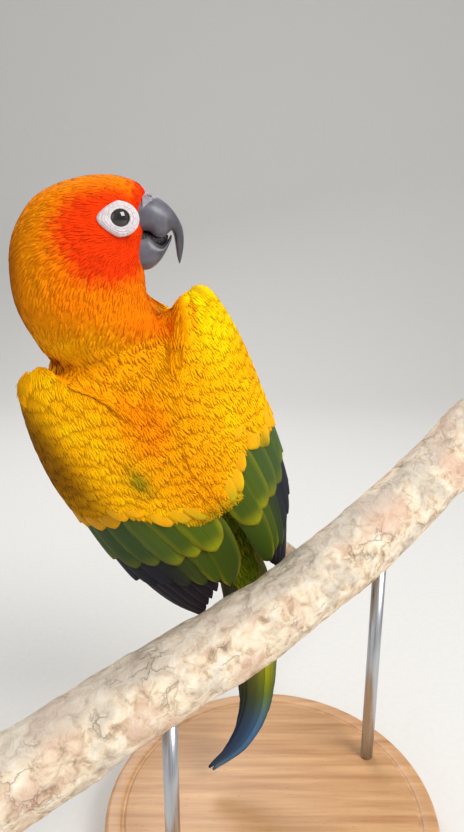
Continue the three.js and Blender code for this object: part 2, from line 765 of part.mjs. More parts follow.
const wholeHead = solid(headForm(0));
let skull = wholeHead.intersect(headAbove(HEAD_BASE));
for (const side of ['left', 'right']) {
  skull = skull.add(solid(bareRingForm(side))).add(solid(lidForm(side)))
    .subtract(solid(eyeForm(side, GAP)));
  headGroup.add(mesh(`eye_${side}`, geometryOf(solid(eyeForm(side, 0))), 'eye'));
}
headGroup.add(mesh('head', geometryOf(skull), 'head'));
headGroup.add(mesh('neck', geometryOf(wholeHead.subtract(headAbove(HEAD_BASE - GAP))), 'neck'));
bird.add(mesh('torso', geometryOf(trunk(0).subtract(headInBird(GAP))), 'torso'));

const headClearInHead = solid(headForm(GAP));
const upperBill = solid(billForm(UPPER_BILL)).subtract(headClearInHead)
  .subtract(solid(nostrilForm(1))).subtract(solid(nostrilForm(-1)));
const lowerBill = solid(billForm(LOWER_BILL)).subtract(headClearInHead);
headGroup.add(mesh('upper_bill', geometryOf(upperBill), 'bill'));
headGroup.add(mesh('lower_bill', geometryOf(lowerBill), 'bill'));

const wings = { left: LEFT_WING, right: RIGHT_WING };
for (const side of ['left', 'right']) {
  const sign = side === 'left' ? -1 : 1;
  const wing = joined(wingForms(wings[side], sign)).subtract(fleshClear);
  bird.add(mesh(`wing_${side}`, geometryOf(wing), 'wing'));
  const foot = joined(footForm(side, 0)).subtract(perchClear);
  group.add(mesh(`foot_${side}`, geometryOf(foot), 'foot'));
  const thigh = solid(thighForm(side)).subtract(fleshClear)
    .subtract(joined(footForm(side, GAP).map((piece) => moved(piece, toBird))));
  bird.add(mesh(`thigh_${side}`, geometryOf(thigh), 'torso'));
}
const tailForms = [tailRoot(), ...tailVanes()].map((form) => moved(form, toBird));
const tailSolid = joined(tailForms).subtract(fleshClear);
bird.add(mesh('tail', geometryOf(tailSolid), 'tail'));
group.add(mesh('perch_branch', geometryOf(solid(perchForm(0))), 'bark'));
group.add(mesh('perch_limb', geometryOf(solid(limbForm(0)).subtract(solid(perchForm(GAP)))), 'bark'));

// Stand
const baseProfile = [
  [0, 0],
  [BASE_RADIUS - BASE_EDGE, 0],
  [BASE_RADIUS, BASE_EDGE],
  [BASE_RADIUS, BASE_HEIGHT - BASE_EDGE],
  [BASE_RADIUS - BASE_EDGE, BASE_HEIGHT],
  [0, BASE_HEIGHT],
].map((point) => new THREE.Vector2(...point));
const baseForm = new THREE.LatheGeometry(baseProfile, 48);
baseForm.rotateX(Math.PI / 2);
group.add(mesh('stand_base', geometryOf(solid(baseForm)), 'wood'));
for (const [side, share] of Object.entries(ROD_SHARES)) {
  const [{ place }] = alongCurve(PERCH_LINE, [share], new THREE.Vector3(0, 0, 1));
  const length = place.z - BASE_HEIGHT - GAP;
  const rodForm = new THREE.CylinderGeometry(ROD_RADIUS, ROD_RADIUS, length, 20);
  rodForm.rotateX(Math.PI / 2);
  rodForm.translate(place.x, place.y, BASE_HEIGHT + GAP + length / 2);
  group.add(mesh(`stand_rod_${side}`, geometryOf(solid(rodForm).subtract(perchClear)), 'steel'));
}

export default group;
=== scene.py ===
"""Looks of a life-size sun conure display model: plumage, bill, eyes, feet, branch and stand.

Lengths are written in millimetres, as in the part's own source, and become metres when a mesh is
made. Three frames are used: the model's own, the bird's (x to its right, y to its head, z to its
back) and the head's (x the way the bill points, z up, its right side at negative y).
"""

import itertools
import logging
import math
from dataclasses import dataclass
from enum import Enum
from typing import Any, Callable, Iterable, Sequence

import bpy
import numpy as np
from bpy.types import Material, Mesh, Node, NodeSocket, NodeTree, Object
from mathutils import Matrix, Vector
from mathutils.bvhtree import BVHTree


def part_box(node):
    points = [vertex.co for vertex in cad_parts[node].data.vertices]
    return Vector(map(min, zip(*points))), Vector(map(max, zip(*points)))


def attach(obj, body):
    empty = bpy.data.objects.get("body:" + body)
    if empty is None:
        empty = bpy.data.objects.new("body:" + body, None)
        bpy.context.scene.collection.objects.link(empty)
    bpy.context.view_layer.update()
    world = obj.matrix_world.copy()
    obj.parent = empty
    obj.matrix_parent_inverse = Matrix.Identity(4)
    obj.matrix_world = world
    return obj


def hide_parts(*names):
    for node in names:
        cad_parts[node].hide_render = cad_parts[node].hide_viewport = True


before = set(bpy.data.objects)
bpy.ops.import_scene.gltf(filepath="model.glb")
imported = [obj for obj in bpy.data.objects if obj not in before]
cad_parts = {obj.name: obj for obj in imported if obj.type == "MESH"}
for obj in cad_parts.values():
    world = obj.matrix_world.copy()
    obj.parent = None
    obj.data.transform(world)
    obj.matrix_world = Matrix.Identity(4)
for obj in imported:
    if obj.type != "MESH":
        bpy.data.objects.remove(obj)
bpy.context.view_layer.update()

LOG = logging.getLogger("conure")
MM = 0.001
SEED = 11
VALUE_NAMES = {"FLOAT": "value", "FLOAT_VECTOR": "vector", "FLOAT_COLOR": "color"}
Array = np.ndarray
Shell = tuple[Array, list[Sequence[int]]]
Field = Callable[[Array], Array]


class Side(Enum):
    """The two sides of the bird; the value is the sign of x in the bird's frame."""

    LEFT = -1
    RIGHT = 1


# Numbers


def smooth(share: Array) -> Array:
    """Eases a share from 0 to 1."""
    held = np.clip(share, 0, 1)
    return held * held * (3 - 2 * held)


def ramp(value: Array, start: float, end: float) -> Array:
    """Rises smoothly from 0 at start to 1 at end."""
    return smooth((np.asarray(value, float) - start) / (end - start))


def speckle(points: Array, size: float, seed: int = 0) -> Array:
    """Smooth random values that change over a given size.

    Args:
        points: places, in millimetres.
        size: the width of one spot, in millimetres.
        seed: picks another pattern.

    Returns:
        Values from -1 to 1, one for each place.
    """
    place = np.asarray(points, float) / size + 13.7 * seed
    cell = np.floor(place).astype(np.int64)
    part = smooth(place - cell)
    total = np.zeros(place.shape[:-1])
    for corner in itertools.product((0, 1), repeat=3):
        spot = cell + corner
        mixed = spot[..., 0] * 73856093 ^ spot[..., 1] * 19349663 ^ spot[..., 2] * 83492791
        mixed = ((mixed ^ (seed * 7919 + 17)) & 0xFFFFFF) * 1103515245 + 12345
        value = ((mixed >> 8) & 0xFFFF) / 32767.5 - 1
        weight = np.ones(value.shape)
        for axis in range(3):
            weight = weight * (part[..., axis] if corner[axis] else 1 - part[..., axis])
        total += value * weight
    return total


def parts(values: Array) -> Array:
    """The numbers of the last axis, one array each."""
    return np.moveaxis(values, -1, 0)


def turns(count: int) -> Array:
    """Even turns round a ring, in radians."""
    return np.arange(count) / count * 2 * math.pi


def unit(vectors: Array) -> Array:
    """Vectors of length 1."""
    return vectors / np.maximum(np.linalg.norm(vectors, axis=-1, keepdims=True), 1e-9)


def linear(code: str) -> Array:
    """A colour written as sRGB hex, as linear red, green, blue and 1."""
    values = [int(code[i:i + 2], 16) / 255 for i in (1, 3, 5)]
    bent = [v / 12.92 if v <= 0.04045 else ((v + 0.055) / 1.055) ** 2.4 for v in values]
    return np.array([*bent, 1.0])


def blend(base: Array | str, other: Array | str, share: Array) -> Array:
    """Mixes colours, arrays or sRGB hex: share 0 keeps the base, share 1 gives the other."""
    base, other = (linear(colour) if isinstance(colour, str) else colour for colour in (base, other))
    part = np.clip(np.asarray(share, float), 0, 1)[..., None]
    return base * (1 - part) + other * part


class Rows:
    """A table of numbers sorted from a high first column to a low one, read smoothly."""

    def __init__(self, rows: Sequence[Sequence[float]]) -> None:
        """Keeps the rows."""
        self.rows = np.array(rows, float)

    @property
    def top(self) -> float:
        """The highest place in the table."""
        return float(self.rows[0, 0])

    @property
    def bottom(self) -> float:
        """The lowest place in the table."""
        return float(self.rows[-1, 0])

    def at(self, place: Array) -> Array:
        """Reads the table.

        Args:
            place: values of the first column.

        Returns:
            The other columns at each place, as the last axis.
        """
        rows = self.rows
        spot = np.asarray(place, float)
        index = np.clip(np.sum(spot[..., None] < rows[1:, 0], axis=-1), 0, len(rows) - 2)
        this, end = rows[index], rows[index + 1]
        before, after = rows[np.maximum(index - 1, 0)], rows[np.minimum(index + 2, len(rows) - 1)]
        span = this[..., :1] - end[..., :1]
        t = np.clip((this[..., :1] - spot[..., None]) / span, 0, 1)
        m0 = (end - before) / (before[..., :1] - end[..., :1]) * span
        m1 = (after - this) / (this[..., :1] - after[..., :1]) * span
        t2, t3 = t * t, t * t * t
        read = (2 * t3 - 3 * t2 + 1) * this + (t3 - 2 * t2 + t) * m0
        read = read + (3 * t2 - 2 * t3) * end + (t3 - t2) * m1
        return read[..., 1:]


class Line:
    """A smooth curve through points, read by the share of its length."""

    def __init__(self, points: Sequence[Sequence[float]]) -> None:
        """Samples the centripetal curve finely."""
        given = np.array(points, float)
        padded = np.vstack([2 * given[0] - given[1], given, 2 * given[-1] - given[-2]])
        places = []
        for i in range(1, len(padded) - 2):
            p0, p1, p2, p3 = padded[i - 1:i + 3]
            d0, d1, d2 = (max(math.sqrt(np.linalg.norm(b - a)), 1e-4)
                          for a, b in ((p0, p1), (p1, p2), (p2, p3)))
            m1 = ((p1 - p0) / d0 - (p2 - p0) / (d0 + d1) + (p2 - p1) / d1) * d1
            m2 = ((p2 - p1) / d1 - (p3 - p1) / (d1 + d2) + (p3 - p2) / d2) * d1
            t = np.linspace(0, 1, 60, endpoint=False)[:, None]
            places.append(p1 + m1 * t + (3 * (p2 - p1) - 2 * m1 - m2) * t ** 2
                          + (2 * (p1 - p2) + m1 + m2) * t ** 3)
        self.places = np.vstack([*places, given[-1:]])
        steps = np.linalg.norm(np.diff(self.places, axis=0), axis=1)
        self.length = float(steps.sum())
        self.shares = np.concatenate([[0], np.cumsum(steps)]) / self.length

    def at(self, shares: Array) -> Array:
        """Places at shares of the length."""
        return np.stack([np.interp(shares, self.shares, self.places[:, k]) for k in range(3)], -1)

    def frames(self, shares: Array, across: Sequence[float]) -> tuple[Array, Array, Array, Array]:
        """The place, the way ahead and two directions across at each share.

        Args:
            shares: shares of the length.
            across: a direction that the first direction across keeps to.

        Returns:
            Places, ahead, side and over, each with three numbers a share.
        """
        shares = np.asarray(shares, float)
        place = self.at(shares)
        ahead = unit(self.at(np.minimum(shares + 0.004, 1)) - self.at(np.maximum(shares - 0.004, 0)))
        guide = np.broadcast_to(np.array(across, float), ahead.shape)
        side = unit(guide - ahead * np.sum(guide * ahead, -1, keepdims=True))
        return place, ahead, side, np.cross(side, ahead)


@dataclass(frozen=True)
class Bearing:
    """A frame of reference: its origin and its axes as the columns of a turn."""

    origin: tuple[float, float, float]
    degrees: tuple[float, float, float]

    @property
    def turn(self) -> Array:
        """The turn about x, then y, then z, each about the turned axis."""
        x, y, z = (math.radians(value) for value in self.degrees)
        turns = [Matrix.Rotation(x, 3, "X"), Matrix.Rotation(y, 3, "Y"), Matrix.Rotation(z, 3, "Z")]
        return np.array(turns[0] @ turns[1] @ turns[2])

    def out(self, points: Array) -> Array:
        """Places in the model's frame."""
        return np.asarray(points, float) @ self.turn.T + np.array(self.origin)

    def out_way(self, ways: Array) -> Array:
        """Directions in the model's frame."""
        return np.asarray(ways, float) @ self.turn.T

    def into(self, points: Array) -> Array:
        """Places of the model's frame in this one."""
        return (np.asarray(points, float) - np.array(self.origin)) @ self.turn


BIRD = Bearing((-41.3, 4.5, 187.0), (106.1, 21.6, 23.8))
HEAD = Bearing((-60.0, -38.5, 262.0), (0.0, 0.0, 9.8))


# Forms

HEAD_ROWS = Rows([
    [18.5, 4.5, 6.5, 1, 0], [17.7, -1, 12.5, 6, 0], [16, -7, 17, 9, 0], [13.5, -12, 18.9, 11.6, 0],
    [10, -16, 19, 13.3, 0], [5, -19.5, 18.4, 14.5, 0], [0, -22, 17.9, 15.2, 0],
    [-6, -23.2, 17.6, 15.6, 0.2], [-12, -23.5, 17.8, 16, 1], [-18, -23.2, 18.4, 17, 2.6],
    [-24, -21.7, 20.8, 18.5, 5.5], [-30, -19.4, 22.4, 18.5, 9.5], [-37, -16.4, 21, 15, 13],
])
TRUNK_ROWS = Rows([
    [61, 0.5, 3, 17, 19, 16], [56, 0, 3, 21.5, 22.5, 20], [46, -0.5, 1, 26, 25.5, 25],
    [30, -1, -1, 28.5, 26.5, 28], [10, -2, -2, 29, 25.5, 28], [-12, -2, -2, 26.5, 23.5, 26],
    [-30, -1, 1, 20.5, 17.5, 20], [-43, 0, 5, 13.5, 11, 13], [-51, 0.5, 7, 8.5, 7, 8],
])
WING_ROWS = {
    Side.LEFT: Rows([
        [62, -25, 15, -20.5, 18], [59.5, -29, 13.5, -19, 21], [54, -33.3, 11.5, -16.5, 25],
        [46, -37, 9, -11, 28], [30, -42, 6, -6, 29], [10, -45.8, 4, -2.6, 28.6],
        [-12, -46.8, 4, -0.6, 26.8], [-32, -46.4, 5, 1.2, 24.8], [-52, -44.5, 7, -0.5, 23],
        [-70, -39.8, 10, -7, 21.5], [-87, -31, 13.5, -19, 19],
    ]),
    Side.RIGHT: Rows([
        [58.6, 31.5, 15.5, 28, 18], [56, 34.5, 14.2, 26, 20.5], [51.5, 37.8, 12.2, 23, 24.3],
        [43, 39.8, 10, 17, 27.6], [26, 41, 7, 8, 29], [6, 40.6, 5, 1, 28.4],
        [-12, 39.6, 4.5, 2.6, 26.6], [-32, 36.6, 4.5, 4.4, 24.6], [-52, 31.5, 5.5, 5, 23],
        [-70, 23.5, 8, 4.5, 21.5], [-88, 13.5, 12, 3, 19.5], [-99, 6.5, 15, 1.5, 18.5],
    ]),
}
TAIL_LINE = Line([
    [-24, 23.5, 146], [-14.5, 28.5, 124], [-7.5, 26.5, 98], [-5, 19.5, 70], [-6.5, 16, 50],
    [-14, 12.5, 35], [-27, 9, 24.5],
])
TAIL_ACROSS = (0.86, 0.3, 0.1)
PERCH_LINE = Line([
    [-101, -73, 89], [-55, -42.5, 102.7], [-4, -9.5, 116.8], [40.5, 22, 135], [74, 47, 154],
    [104, 69, 174],
])
LIMB_LINE = Line([
    [8, 4, 116], [19, 22, 104.5], [14, 42, 108], [-6, 50, 124], [-28, 51.5, 134], [-52, 49, 138],
])
UPRIGHT = (0.0, 0.0, 1.0)


@dataclass(frozen=True)
class HeadForm:
    """The head and neck, as rings about the head's z axis."""

    narrowing: float = 0.2
    bluntness: float = 0.7

    def at(self, z: Array, angle: Array, grow: float = 0.0) -> Array:
        """Places on the surface, in the head's frame.

        Args:
            z: heights.
            angle: turns about z, 0 towards the face.
            grow: distance out from the surface.

        Returns:
            The places.
        """
        back, front, half, middle = parts(HEAD_ROWS.at(z))
        cos = np.cos(angle)
        narrow = 1 - self.narrowing * np.maximum(cos, 0) ** 1.5
        reach = (front - back) / 2 + grow
        x = (front + back) / 2 + reach * np.where(cos > 0, np.maximum(cos, 1e-9) ** self.bluntness, cos)
        y = middle + (half + grow) * np.sin(angle) * narrow
        return np.stack([x, y, np.broadcast_to(z, x.shape)], -1)

    def holds(self, points: Array, grow: float = 0.0) -> Array:
        """Which places, in the model's frame, lie inside the head or neck."""
        x, y, z = parts(HEAD.into(points))
        back, front, half, middle = parts(HEAD_ROWS.at(z))
        part = (x - (front + back) / 2) / ((front - back) / 2 + grow)
        part = np.where(part > 0, np.abs(part) ** (1 / self.bluntness), part)
        narrow = 1 - self.narrowing * np.clip(part, 0, 1) ** 1.5
        inside = part ** 2 + ((y - middle) / ((half + grow) * narrow)) ** 2 < 1
        return inside & (z < HEAD_ROWS.top + grow) & (z > HEAD_ROWS.bottom)

    def cheek(self, x: float, z: float, facing: float) -> tuple[Array, Array, Array, Array]:
        """A place on the right side of the head and its directions, in the head's frame.

        Args:
            x: how far forward.
            z: how high.
            facing: share by which the way outward keeps straight to the side.

        Returns:
            The place and the ways ahead, up and outward.
        """
        place = np.array([x, self.side_y(x, z), z])
        along_x = np.array([1, self.side_y(x + 0.5, z) - self.side_y(x - 0.5, z), 0])
        along_z = np.array([0, self.side_y(x, z + 0.5) - self.side_y(x, z - 0.5), 1])
        outward = unit(np.cross(along_x, along_z))
        outward = unit(outward * (1 - facing) + np.array([0, -1, 0]) * facing)
        ahead = unit(np.array([1, 0, 0]) - outward * outward[0])
        return place, ahead, np.cross(outward, ahead), outward

    def side_y(self, x: Array, z: Array) -> Array:
        """The y of the right side of the head at x and z."""
        back, front, half, middle = parts(HEAD_ROWS.at(np.asarray(z, float)))
        part = np.clip((x - (front + back) / 2) / ((front - back) / 2), -1, 1)
        cos = np.where(part > 0, np.abs(part) ** (1 / self.bluntness), part)
        narrow = 1 - self.narrowing * np.maximum(cos, 0) ** 1.5
        return middle - half * np.sqrt(1 - cos * cos) * narrow


@dataclass(frozen=True)
class TrunkForm:
    """The trunk, as rings about the bird's y axis."""

    def at(self, y: Array, angle: Array, grow: float = 0.0) -> Array:
        """Places on the surface, in the bird's frame; angle 0 is its right, a quarter turn its back."""
        x, z, half, rise, drop = parts(TRUNK_ROWS.at(y))
        depth = np.where(np.sin(angle) > 0, rise, drop)
        out_x = x + (half + grow) * np.cos(angle)
        return np.stack([out_x, np.broadcast_to(y, out_x.shape),
                         z + (depth + grow) * np.sin(angle)], -1)

    def holds(self, points: Array, grow: float = 0.0) -> Array:
        """Which places, in the model's frame, lie inside the trunk."""
        px, py, pz = parts(BIRD.into(points))
        x, z, half, rise, drop = parts(TRUNK_ROWS.at(py))
        depth = np.where(pz > z, rise, drop)
        inside = ((px - x) / (half + grow)) ** 2 + ((pz - z) / (depth + grow)) ** 2 < 1
        return inside & (py < TRUNK_ROWS.top) & (py > TRUNK_ROWS.bottom)


@dataclass(frozen=True)
class WingForm:
    """The outer surface of a folded wing, a quarter ellipse across at each y."""

    side: Side

    def girth(self, y: Array) -> Array:
        """The length across the wing, from its outer edge to its inner edge."""
        return self._arc(y)[1]

    def _arc(self, y: Array) -> tuple[Array, Array, Array]:
        """Lengths along the quarter ellipse at 24 even angles, the whole length, and the row."""
        rows = WING_ROWS[self.side].at(np.asarray(y, float))
        across, rise = rows[..., 0] - rows[..., 2], rows[..., 3] - rows[..., 1]
        angle = (np.arange(24) + 0.5) / 24 * math.pi / 2
        steps = np.hypot(across[..., None] * np.sin(angle), rise[..., None] * np.cos(angle))
        sums = np.concatenate([np.zeros((*steps.shape[:-1], 1)), np.cumsum(steps, -1)], -1)
        return sums, sums[..., -1] * math.pi / 48, rows

    def at(self, y: Array, share: Array, lift: Array) -> Array:
        """Places over the wing, in the bird's frame.

        Args:
            y: places along the bird.
            share: 0 at the outer edge and 1 at the inner edge; below 0 it rounds the front edge.
            lift: heights over the surface.

        Returns:
            The places.
        """
        y, share, lift = np.broadcast_arrays(np.asarray(y, float), share, lift)
        sums, _, rows = self._arc(y)
        goal = np.clip(share, 0, 1) * sums[..., -1]
        index = np.clip(np.sum(sums < goal[..., None], -1) - 1, 0, 23)
        low = np.take_along_axis(sums, index[..., None], -1)[..., 0]
        high = np.take_along_axis(sums, index[..., None] + 1, -1)[..., 0]
        angle = (index + (goal - low) / (high - low)) / 24 * math.pi / 2
        angle = np.where(share < 0, share * math.pi / 2 * 1.3, angle)
        outer_x, outer_z, inner_x, inner_z = parts(rows)
        across, rise = outer_x - inner_x, inner_z - outer_z
        normal_x, normal_z = np.cos(angle) / across, np.sin(angle) / rise
        size = np.hypot(normal_x, normal_z)
        return np.stack([inner_x + across * np.cos(angle) + lift * normal_x / size, y,
                         outer_z + rise * np.sin(angle) + lift * normal_z / size], -1)


HEAD_FORM = HeadForm()
TRUNK_FORM = TrunkForm()
WINGS = {side: WingForm(side) for side in Side}
TAIL_ROOT = {"end": 0.34, "wide": 10.0, "deep": 4.6}


def tail_root(share: Array, angle: Array, grow: float = 0.0) -> Array:
    """Places on the tail's root, in the model's frame; a quarter turn is its underside."""
    share, angle = np.broadcast_arrays(np.asarray(share, float), angle)
    place, _, side, over = TAIL_LINE.frames(share * TAIL_ROOT["end"], TAIL_ACROSS)
    wide = TAIL_ROOT["wide"] * (0.66 + 0.5 * share - 0.62 * share ** 3) + grow
    deep = TAIL_ROOT["deep"] * (1 - 0.72 * share ** 1.5) + grow
    return place + side * (wide * np.cos(angle))[..., None] + over * (deep * np.sin(angle))[..., None]


LEGS = {
    Side.LEFT: {"hip": (-13, -12, -17), "heel": (-46, 39.5, 153), "grip": 0.86},
    Side.RIGHT: {"hip": (13, -16, -17), "heel": (-18, 41, 151.5), "grip": 0.65},
}


def thigh_line(side: Side) -> Line:
    """The middle line of a thigh, in the bird's frame."""
    start = np.array(LEGS[side]["hip"], float)
    end = BIRD.into(np.array(LEGS[side]["heel"], float))
    middle = (start + end) / 2 + np.array([0, 1.5, -3])
    return Line([start, middle, end])


THIGH_SIZES = (11.5, 12.5)  # half width and half depth at the top
ANKLE = 3.0  # radius at the lower end


def thigh_at(side: Side, share: Array, angle: Array, grow: float = 0.0) -> Array:
    """Places on a thigh, in the model's frame."""
    share, angle = np.broadcast_arrays(np.asarray(share, float), angle)
    place, _, across, over = thigh_line(side).frames(share, (1, 0, 0))
    wide, deep = (size + (ANKLE - size) * smooth(share) + grow for size in THIGH_SIZES)
    spot = place + across * (wide * np.cos(angle))[..., None] + over * (deep * np.sin(angle))[..., None]
    return BIRD.out(spot)


@dataclass(frozen=True)
class MantleForm:
    """The soft mantle that lies over the back and the inner edges of both wings."""

    top: float = 55.0
    end: float = -24.0
    lift: float = 0.7

    def edge(self, y: Array) -> Array:
        """How far across a wing the mantle starts, as a share from the wing's outer edge."""
        return 1.0 - 0.5 * ramp(46 - y, 0, 20) + 0.28 * ramp(8 - y, 0, 30)

    def at(self, share: Array, across: Array, grow: float = 0.0) -> Array:
        """Places on the mantle, in the bird's frame.

        Args:
            share: 0 at the neck and 1 at the rump.
            across: 0 on the left wing and 1 on the right.
            grow: distance out from the surface.

        Returns:
            The places.
        """
        share, across = np.broadcast_arrays(np.clip(share, 0, 1), np.clip(across, 0, 1))
        y = self.top + (self.end - self.top) * share
        edge = self.edge(y)
        spots = []
        for side, part in ((Side.LEFT, np.clip(across / 0.36, 0, 1)),
                           (Side.RIGHT, np.clip((1 - across) / 0.36, 0, 1))):
            t = edge + (1 - edge) * part
            lift = -0.5 + self.lift * smooth(part) + 0.5 * smooth(part)
            spots.append(WINGS[side].at(y, t, lift))
        part = np.clip((across - 0.36) / 0.28, 0, 1)
        bridge = spots[0] * (1 - part[..., None]) + spots[1] * part[..., None]
        dip = (0.4 + 7.0 * ramp(y, 30, 54)) * np.clip(np.sin(part * math.pi) * 1.8, 0, 1)
        bridge[..., 2] -= dip
        x, z, half, rise, _ = parts(TRUNK_ROWS.at(y))
        swell = z + rise * np.sqrt(np.clip(1 - ((bridge[..., 0] - x) / half) ** 2, 0, 1)) + 0.3
        bridge[..., 2] = np.maximum(bridge[..., 2], np.minimum(swell, bridge[..., 2] + 4))
        bridge[..., 2] += grow
        return bridge


MANTLE = MantleForm()


# Colours


class Tint(str, Enum):
    """Plumage colours, as sRGB hex; the nape colour and the ochre are darkened to carry painted shade as
    well.
    """

    CROWN = "#f58a02"
    GOLD = "#e28302"
    # The nape's orange darkened to a brown: painted shade.
    NAPE = "#b06202"
    FACE = "#ea3806"
    CHEEK = "#f05a05"
    LORE = "#e62803"
    ORANGE = "#f27c02"
    MANTLE = "#f29c03"
    YELLOW = "#fcb203"
    BRIGHT = "#ffce02"
    # Ochre, darkened so that it also serves as painted shade on the left wing.
    OCHRE = "#865403"
    OLIVE = "#74720e"
    LEAF = "#627412"
    GREEN = "#3c4f0f"
    LIME = "#a8a412"
    SLATE = "#5b7480"
    BLUE = "#3f6d9c"
    TEAL = "#1e4350"
    INK = "#1f1823"
    DUSK = "#34313a"


def head_tint(points: Array) -> Array:
    """Plumage colours of the head and neck, with painted shade on the nape.

    Args:
        points: places in the head's frame.

    Returns:
        Linear colours.
    """
    x, y, z = parts(points)
    soft = speckle(points, 7, 1) * 0.5 + speckle(points, 3, 2) * 0.3
    # Painted shade: the back of the head takes the darkened nape colour.
    colour = blend(Tint.NAPE, Tint.GOLD, ramp(x + 3 * soft, -23, -14))
    colour = blend(colour, Tint.CROWN, ramp(z + 2 * soft, 5, 12))
    warm = 1 - ramp(np.hypot((x - 6) / 22, (z + 7) / 25) + 0.1 * soft, 0.55, 1.05)
    colour = blend(colour, Tint.ORANGE, warm)
    hot = 1 - ramp(np.hypot((x - 7) / 17, (z - 0.5) / 16) + 0.12 * soft, 0.6, 1.02)
    colour = blend(colour, Tint.FACE, hot)
    brow = ramp(x, 12, 17) * ramp(z, 3, 7)
    colour = blend(colour, Tint.LORE, brow)
    low = 1 - ramp(z + 3 * soft, -34, -19)
    neck = blend(Tint.MANTLE, Tint.CHEEK, ramp(x + 2 * soft, 2, 15))
    colour = blend(colour, neck, low)
    return colour * (1 + 0.05 * speckle(points, 1.6, 3))[..., None]


def body_tint(points: Array) -> Array:
    """Plumage colours of the trunk and thighs.

    Args:
        points: places in the bird's frame.

    Returns:
        Linear colours.
    """
    x, y, z = parts(points)
    soft = speckle(points, 11, 4) * 0.6 + speckle(points, 4, 5) * 0.35
    patch = 1 - ramp(np.hypot((x + 6) / 13, (y - 31) / 16) + 0.25 * soft, 0.35, 1.1)
    colour = blend(Tint.MANTLE, Tint.YELLOW, ramp(soft + np.abs(x) * 0.03, 0.1, 1.1) * 0.6)
    colour = blend(colour, Tint.ORANGE, patch * 0.75)
    front = ramp(-z, 2, 12)
    breast = blend(Tint.GOLD, Tint.ORANGE, ramp(30 - y + 14 * soft, -14, 34))
    breast = blend(breast, Tint.CHEEK, ramp(6 - y + 10 * soft, -4, 22) * ramp(y, -34, -12) * 0.8)
    breast = blend(breast, Tint.OLIVE, ramp(-y, 26, 42))
    colour = blend(colour, breast, front)
    rump = ramp(-y + 5 * soft, 12, 34) * (1 - front)
    colour = blend(colour, blend(Tint.LIME, Tint.LEAF, ramp(soft, -0.5, 0.5)), rump)
    return colour * (1 + 0.05 * speckle(points, 2.2, 6))[..., None]


def wing_tint(points: Array, side: Side) -> Array:
    """Colours of the small feathers on a wing, with painted shade on the left wing's outer part and a
    painted highlight on the right shoulder.

    Args:
        points: places in the bird's frame.
        side: which wing.

    Returns:
        Linear colours.
    """
    x, y, z = parts(points)
    soft = speckle(points, 10, 14) * 0.6 + speckle(points, 4, 15) * 0.4
    outer = np.abs(x)
    colour = blend(Tint.YELLOW, Tint.BRIGHT, ramp(soft, 0.0, 0.9) * 0.7)
    inner = (1 - ramp(outer, 6, 26)) * ramp(y, -22, 10)
    colour = blend(colour, Tint.MANTLE, inner * 0.85)
    if side is Side.LEFT:
        # Painted shade: the outer part of the left wing is darkened towards ochre.
        shade = ramp(outer, 25, 38) * ramp(y, -34, 24)
        colour = blend(colour, Tint.OCHRE, shade * 0.95)
        streak = np.exp(-((x + 16.4) / 3.4) ** 2 - ((y - 11) / 8) ** 2)
    else:
        # Painted highlight: the right shoulder is lightened to bright yellow.
        colour = blend(colour, Tint.BRIGHT, ramp(outer, 20, 30) * ramp(y, 24, 44) * 0.95)
        streak = np.exp(-((x - 29) / 3.2) ** 2 - ((y + 14) / 8) ** 2)
    colour = blend(colour, Tint.OLIVE, streak * 0.85)
    low = ramp(-y + 7 * soft, 12, 27)
    colour = blend(colour, Tint.LIME, low * 0.55)
    return colour * (1 + 0.05 * speckle(points, 2.2, 16))[..., None]


def covert_tint(points: Array, below: Array) -> Array:
    """Colours of the small feathers over the tail's root.

    Args:
        points: places in the model's frame.
        below: 1 on the underside and 0 on top.

    Returns:
        Linear colours.
    """
    soft = speckle(points, 4, 7)
    top = blend(Tint.LEAF, Tint.LIME, ramp(soft, -0.2, 0.9) * 0.7)
    under = blend(Tint.OLIVE, Tint.LIME, ramp(soft, 0, 1) * 0.6)
    return blend(top, under, below)


# Meshes


def new_object(name: str, data: Any) -> Object:
    """An object at the origin, in the scene."""
    made = bpy.data.objects.new(name, data)
    bpy.context.scene.collection.objects.link(made)
    return made


def evaluated_mesh(thing: Object) -> Mesh:
    """The mesh that an object's modifiers give."""
    bpy.context.view_layer.update()
    return bpy.data.meshes.new_from_object(thing.evaluated_get(bpy.context.evaluated_depsgraph_get()))


def add_object(name: str, points: Array, faces: Iterable[Sequence[int]]) -> Object:
    """A smooth-shaded mesh object at the origin.

    Args:
        name: the object's name.
        points: its vertices, in millimetres, in the model's frame.
        faces: its faces.

    Returns:
        The object.
    """
    mesh = bpy.data.meshes.new(name)
    if isinstance(faces, np.ndarray):
        faces = faces.tolist()
    mesh.from_pydata((np.asarray(points, float).reshape(-1, 3) * MM).tolist(), [], faces)
    mesh.polygons.foreach_set("use_smooth", np.ones(len(mesh.polygons), bool))
    mesh.update()
    return new_object(name, mesh)


def set_attribute(thing: Object, name: str, kind: str, values: Array) -> None:
    """Stores an attribute on the vertices of a mesh.

    Args:
        thing: the mesh object.
        name: the attribute's name.
        kind: one of VALUE_NAMES.
        values: one row for each vertex.
    """
    made = thing.data.attributes.new(name, kind, "POINT")
    made.data.foreach_set(VALUE_NAMES[kind], np.ascontiguousarray(values, dtype=np.float32).ravel())


def places_of(thing: Object) -> Array:
    """The vertices of a mesh object, in millimetres."""
    flat = np.empty(len(thing.data.vertices) * 3, np.float32)
    thing.data.vertices.foreach_get("co", flat)
    return flat.reshape(-1, 3).astype(float) / MM


def grid_faces(rows: int, columns: int, closed: bool = True) -> Array:
    """Quads over a grid of points.

    Args:
        rows: how many rings.
        columns: how many points a ring.
        closed: whether each ring closes on itself.

    Returns:
        The quads.
    """
    r, c = np.meshgrid(np.arange(rows - 1), np.arange(columns if closed else columns - 1), indexing="ij")
    after = (c + 1) % columns
    quads = np.stack([r * columns + c, r * columns + after, (r + 1) * columns + after,
                      (r + 1) * columns + c], -1)
    return quads.reshape(-1, 4)


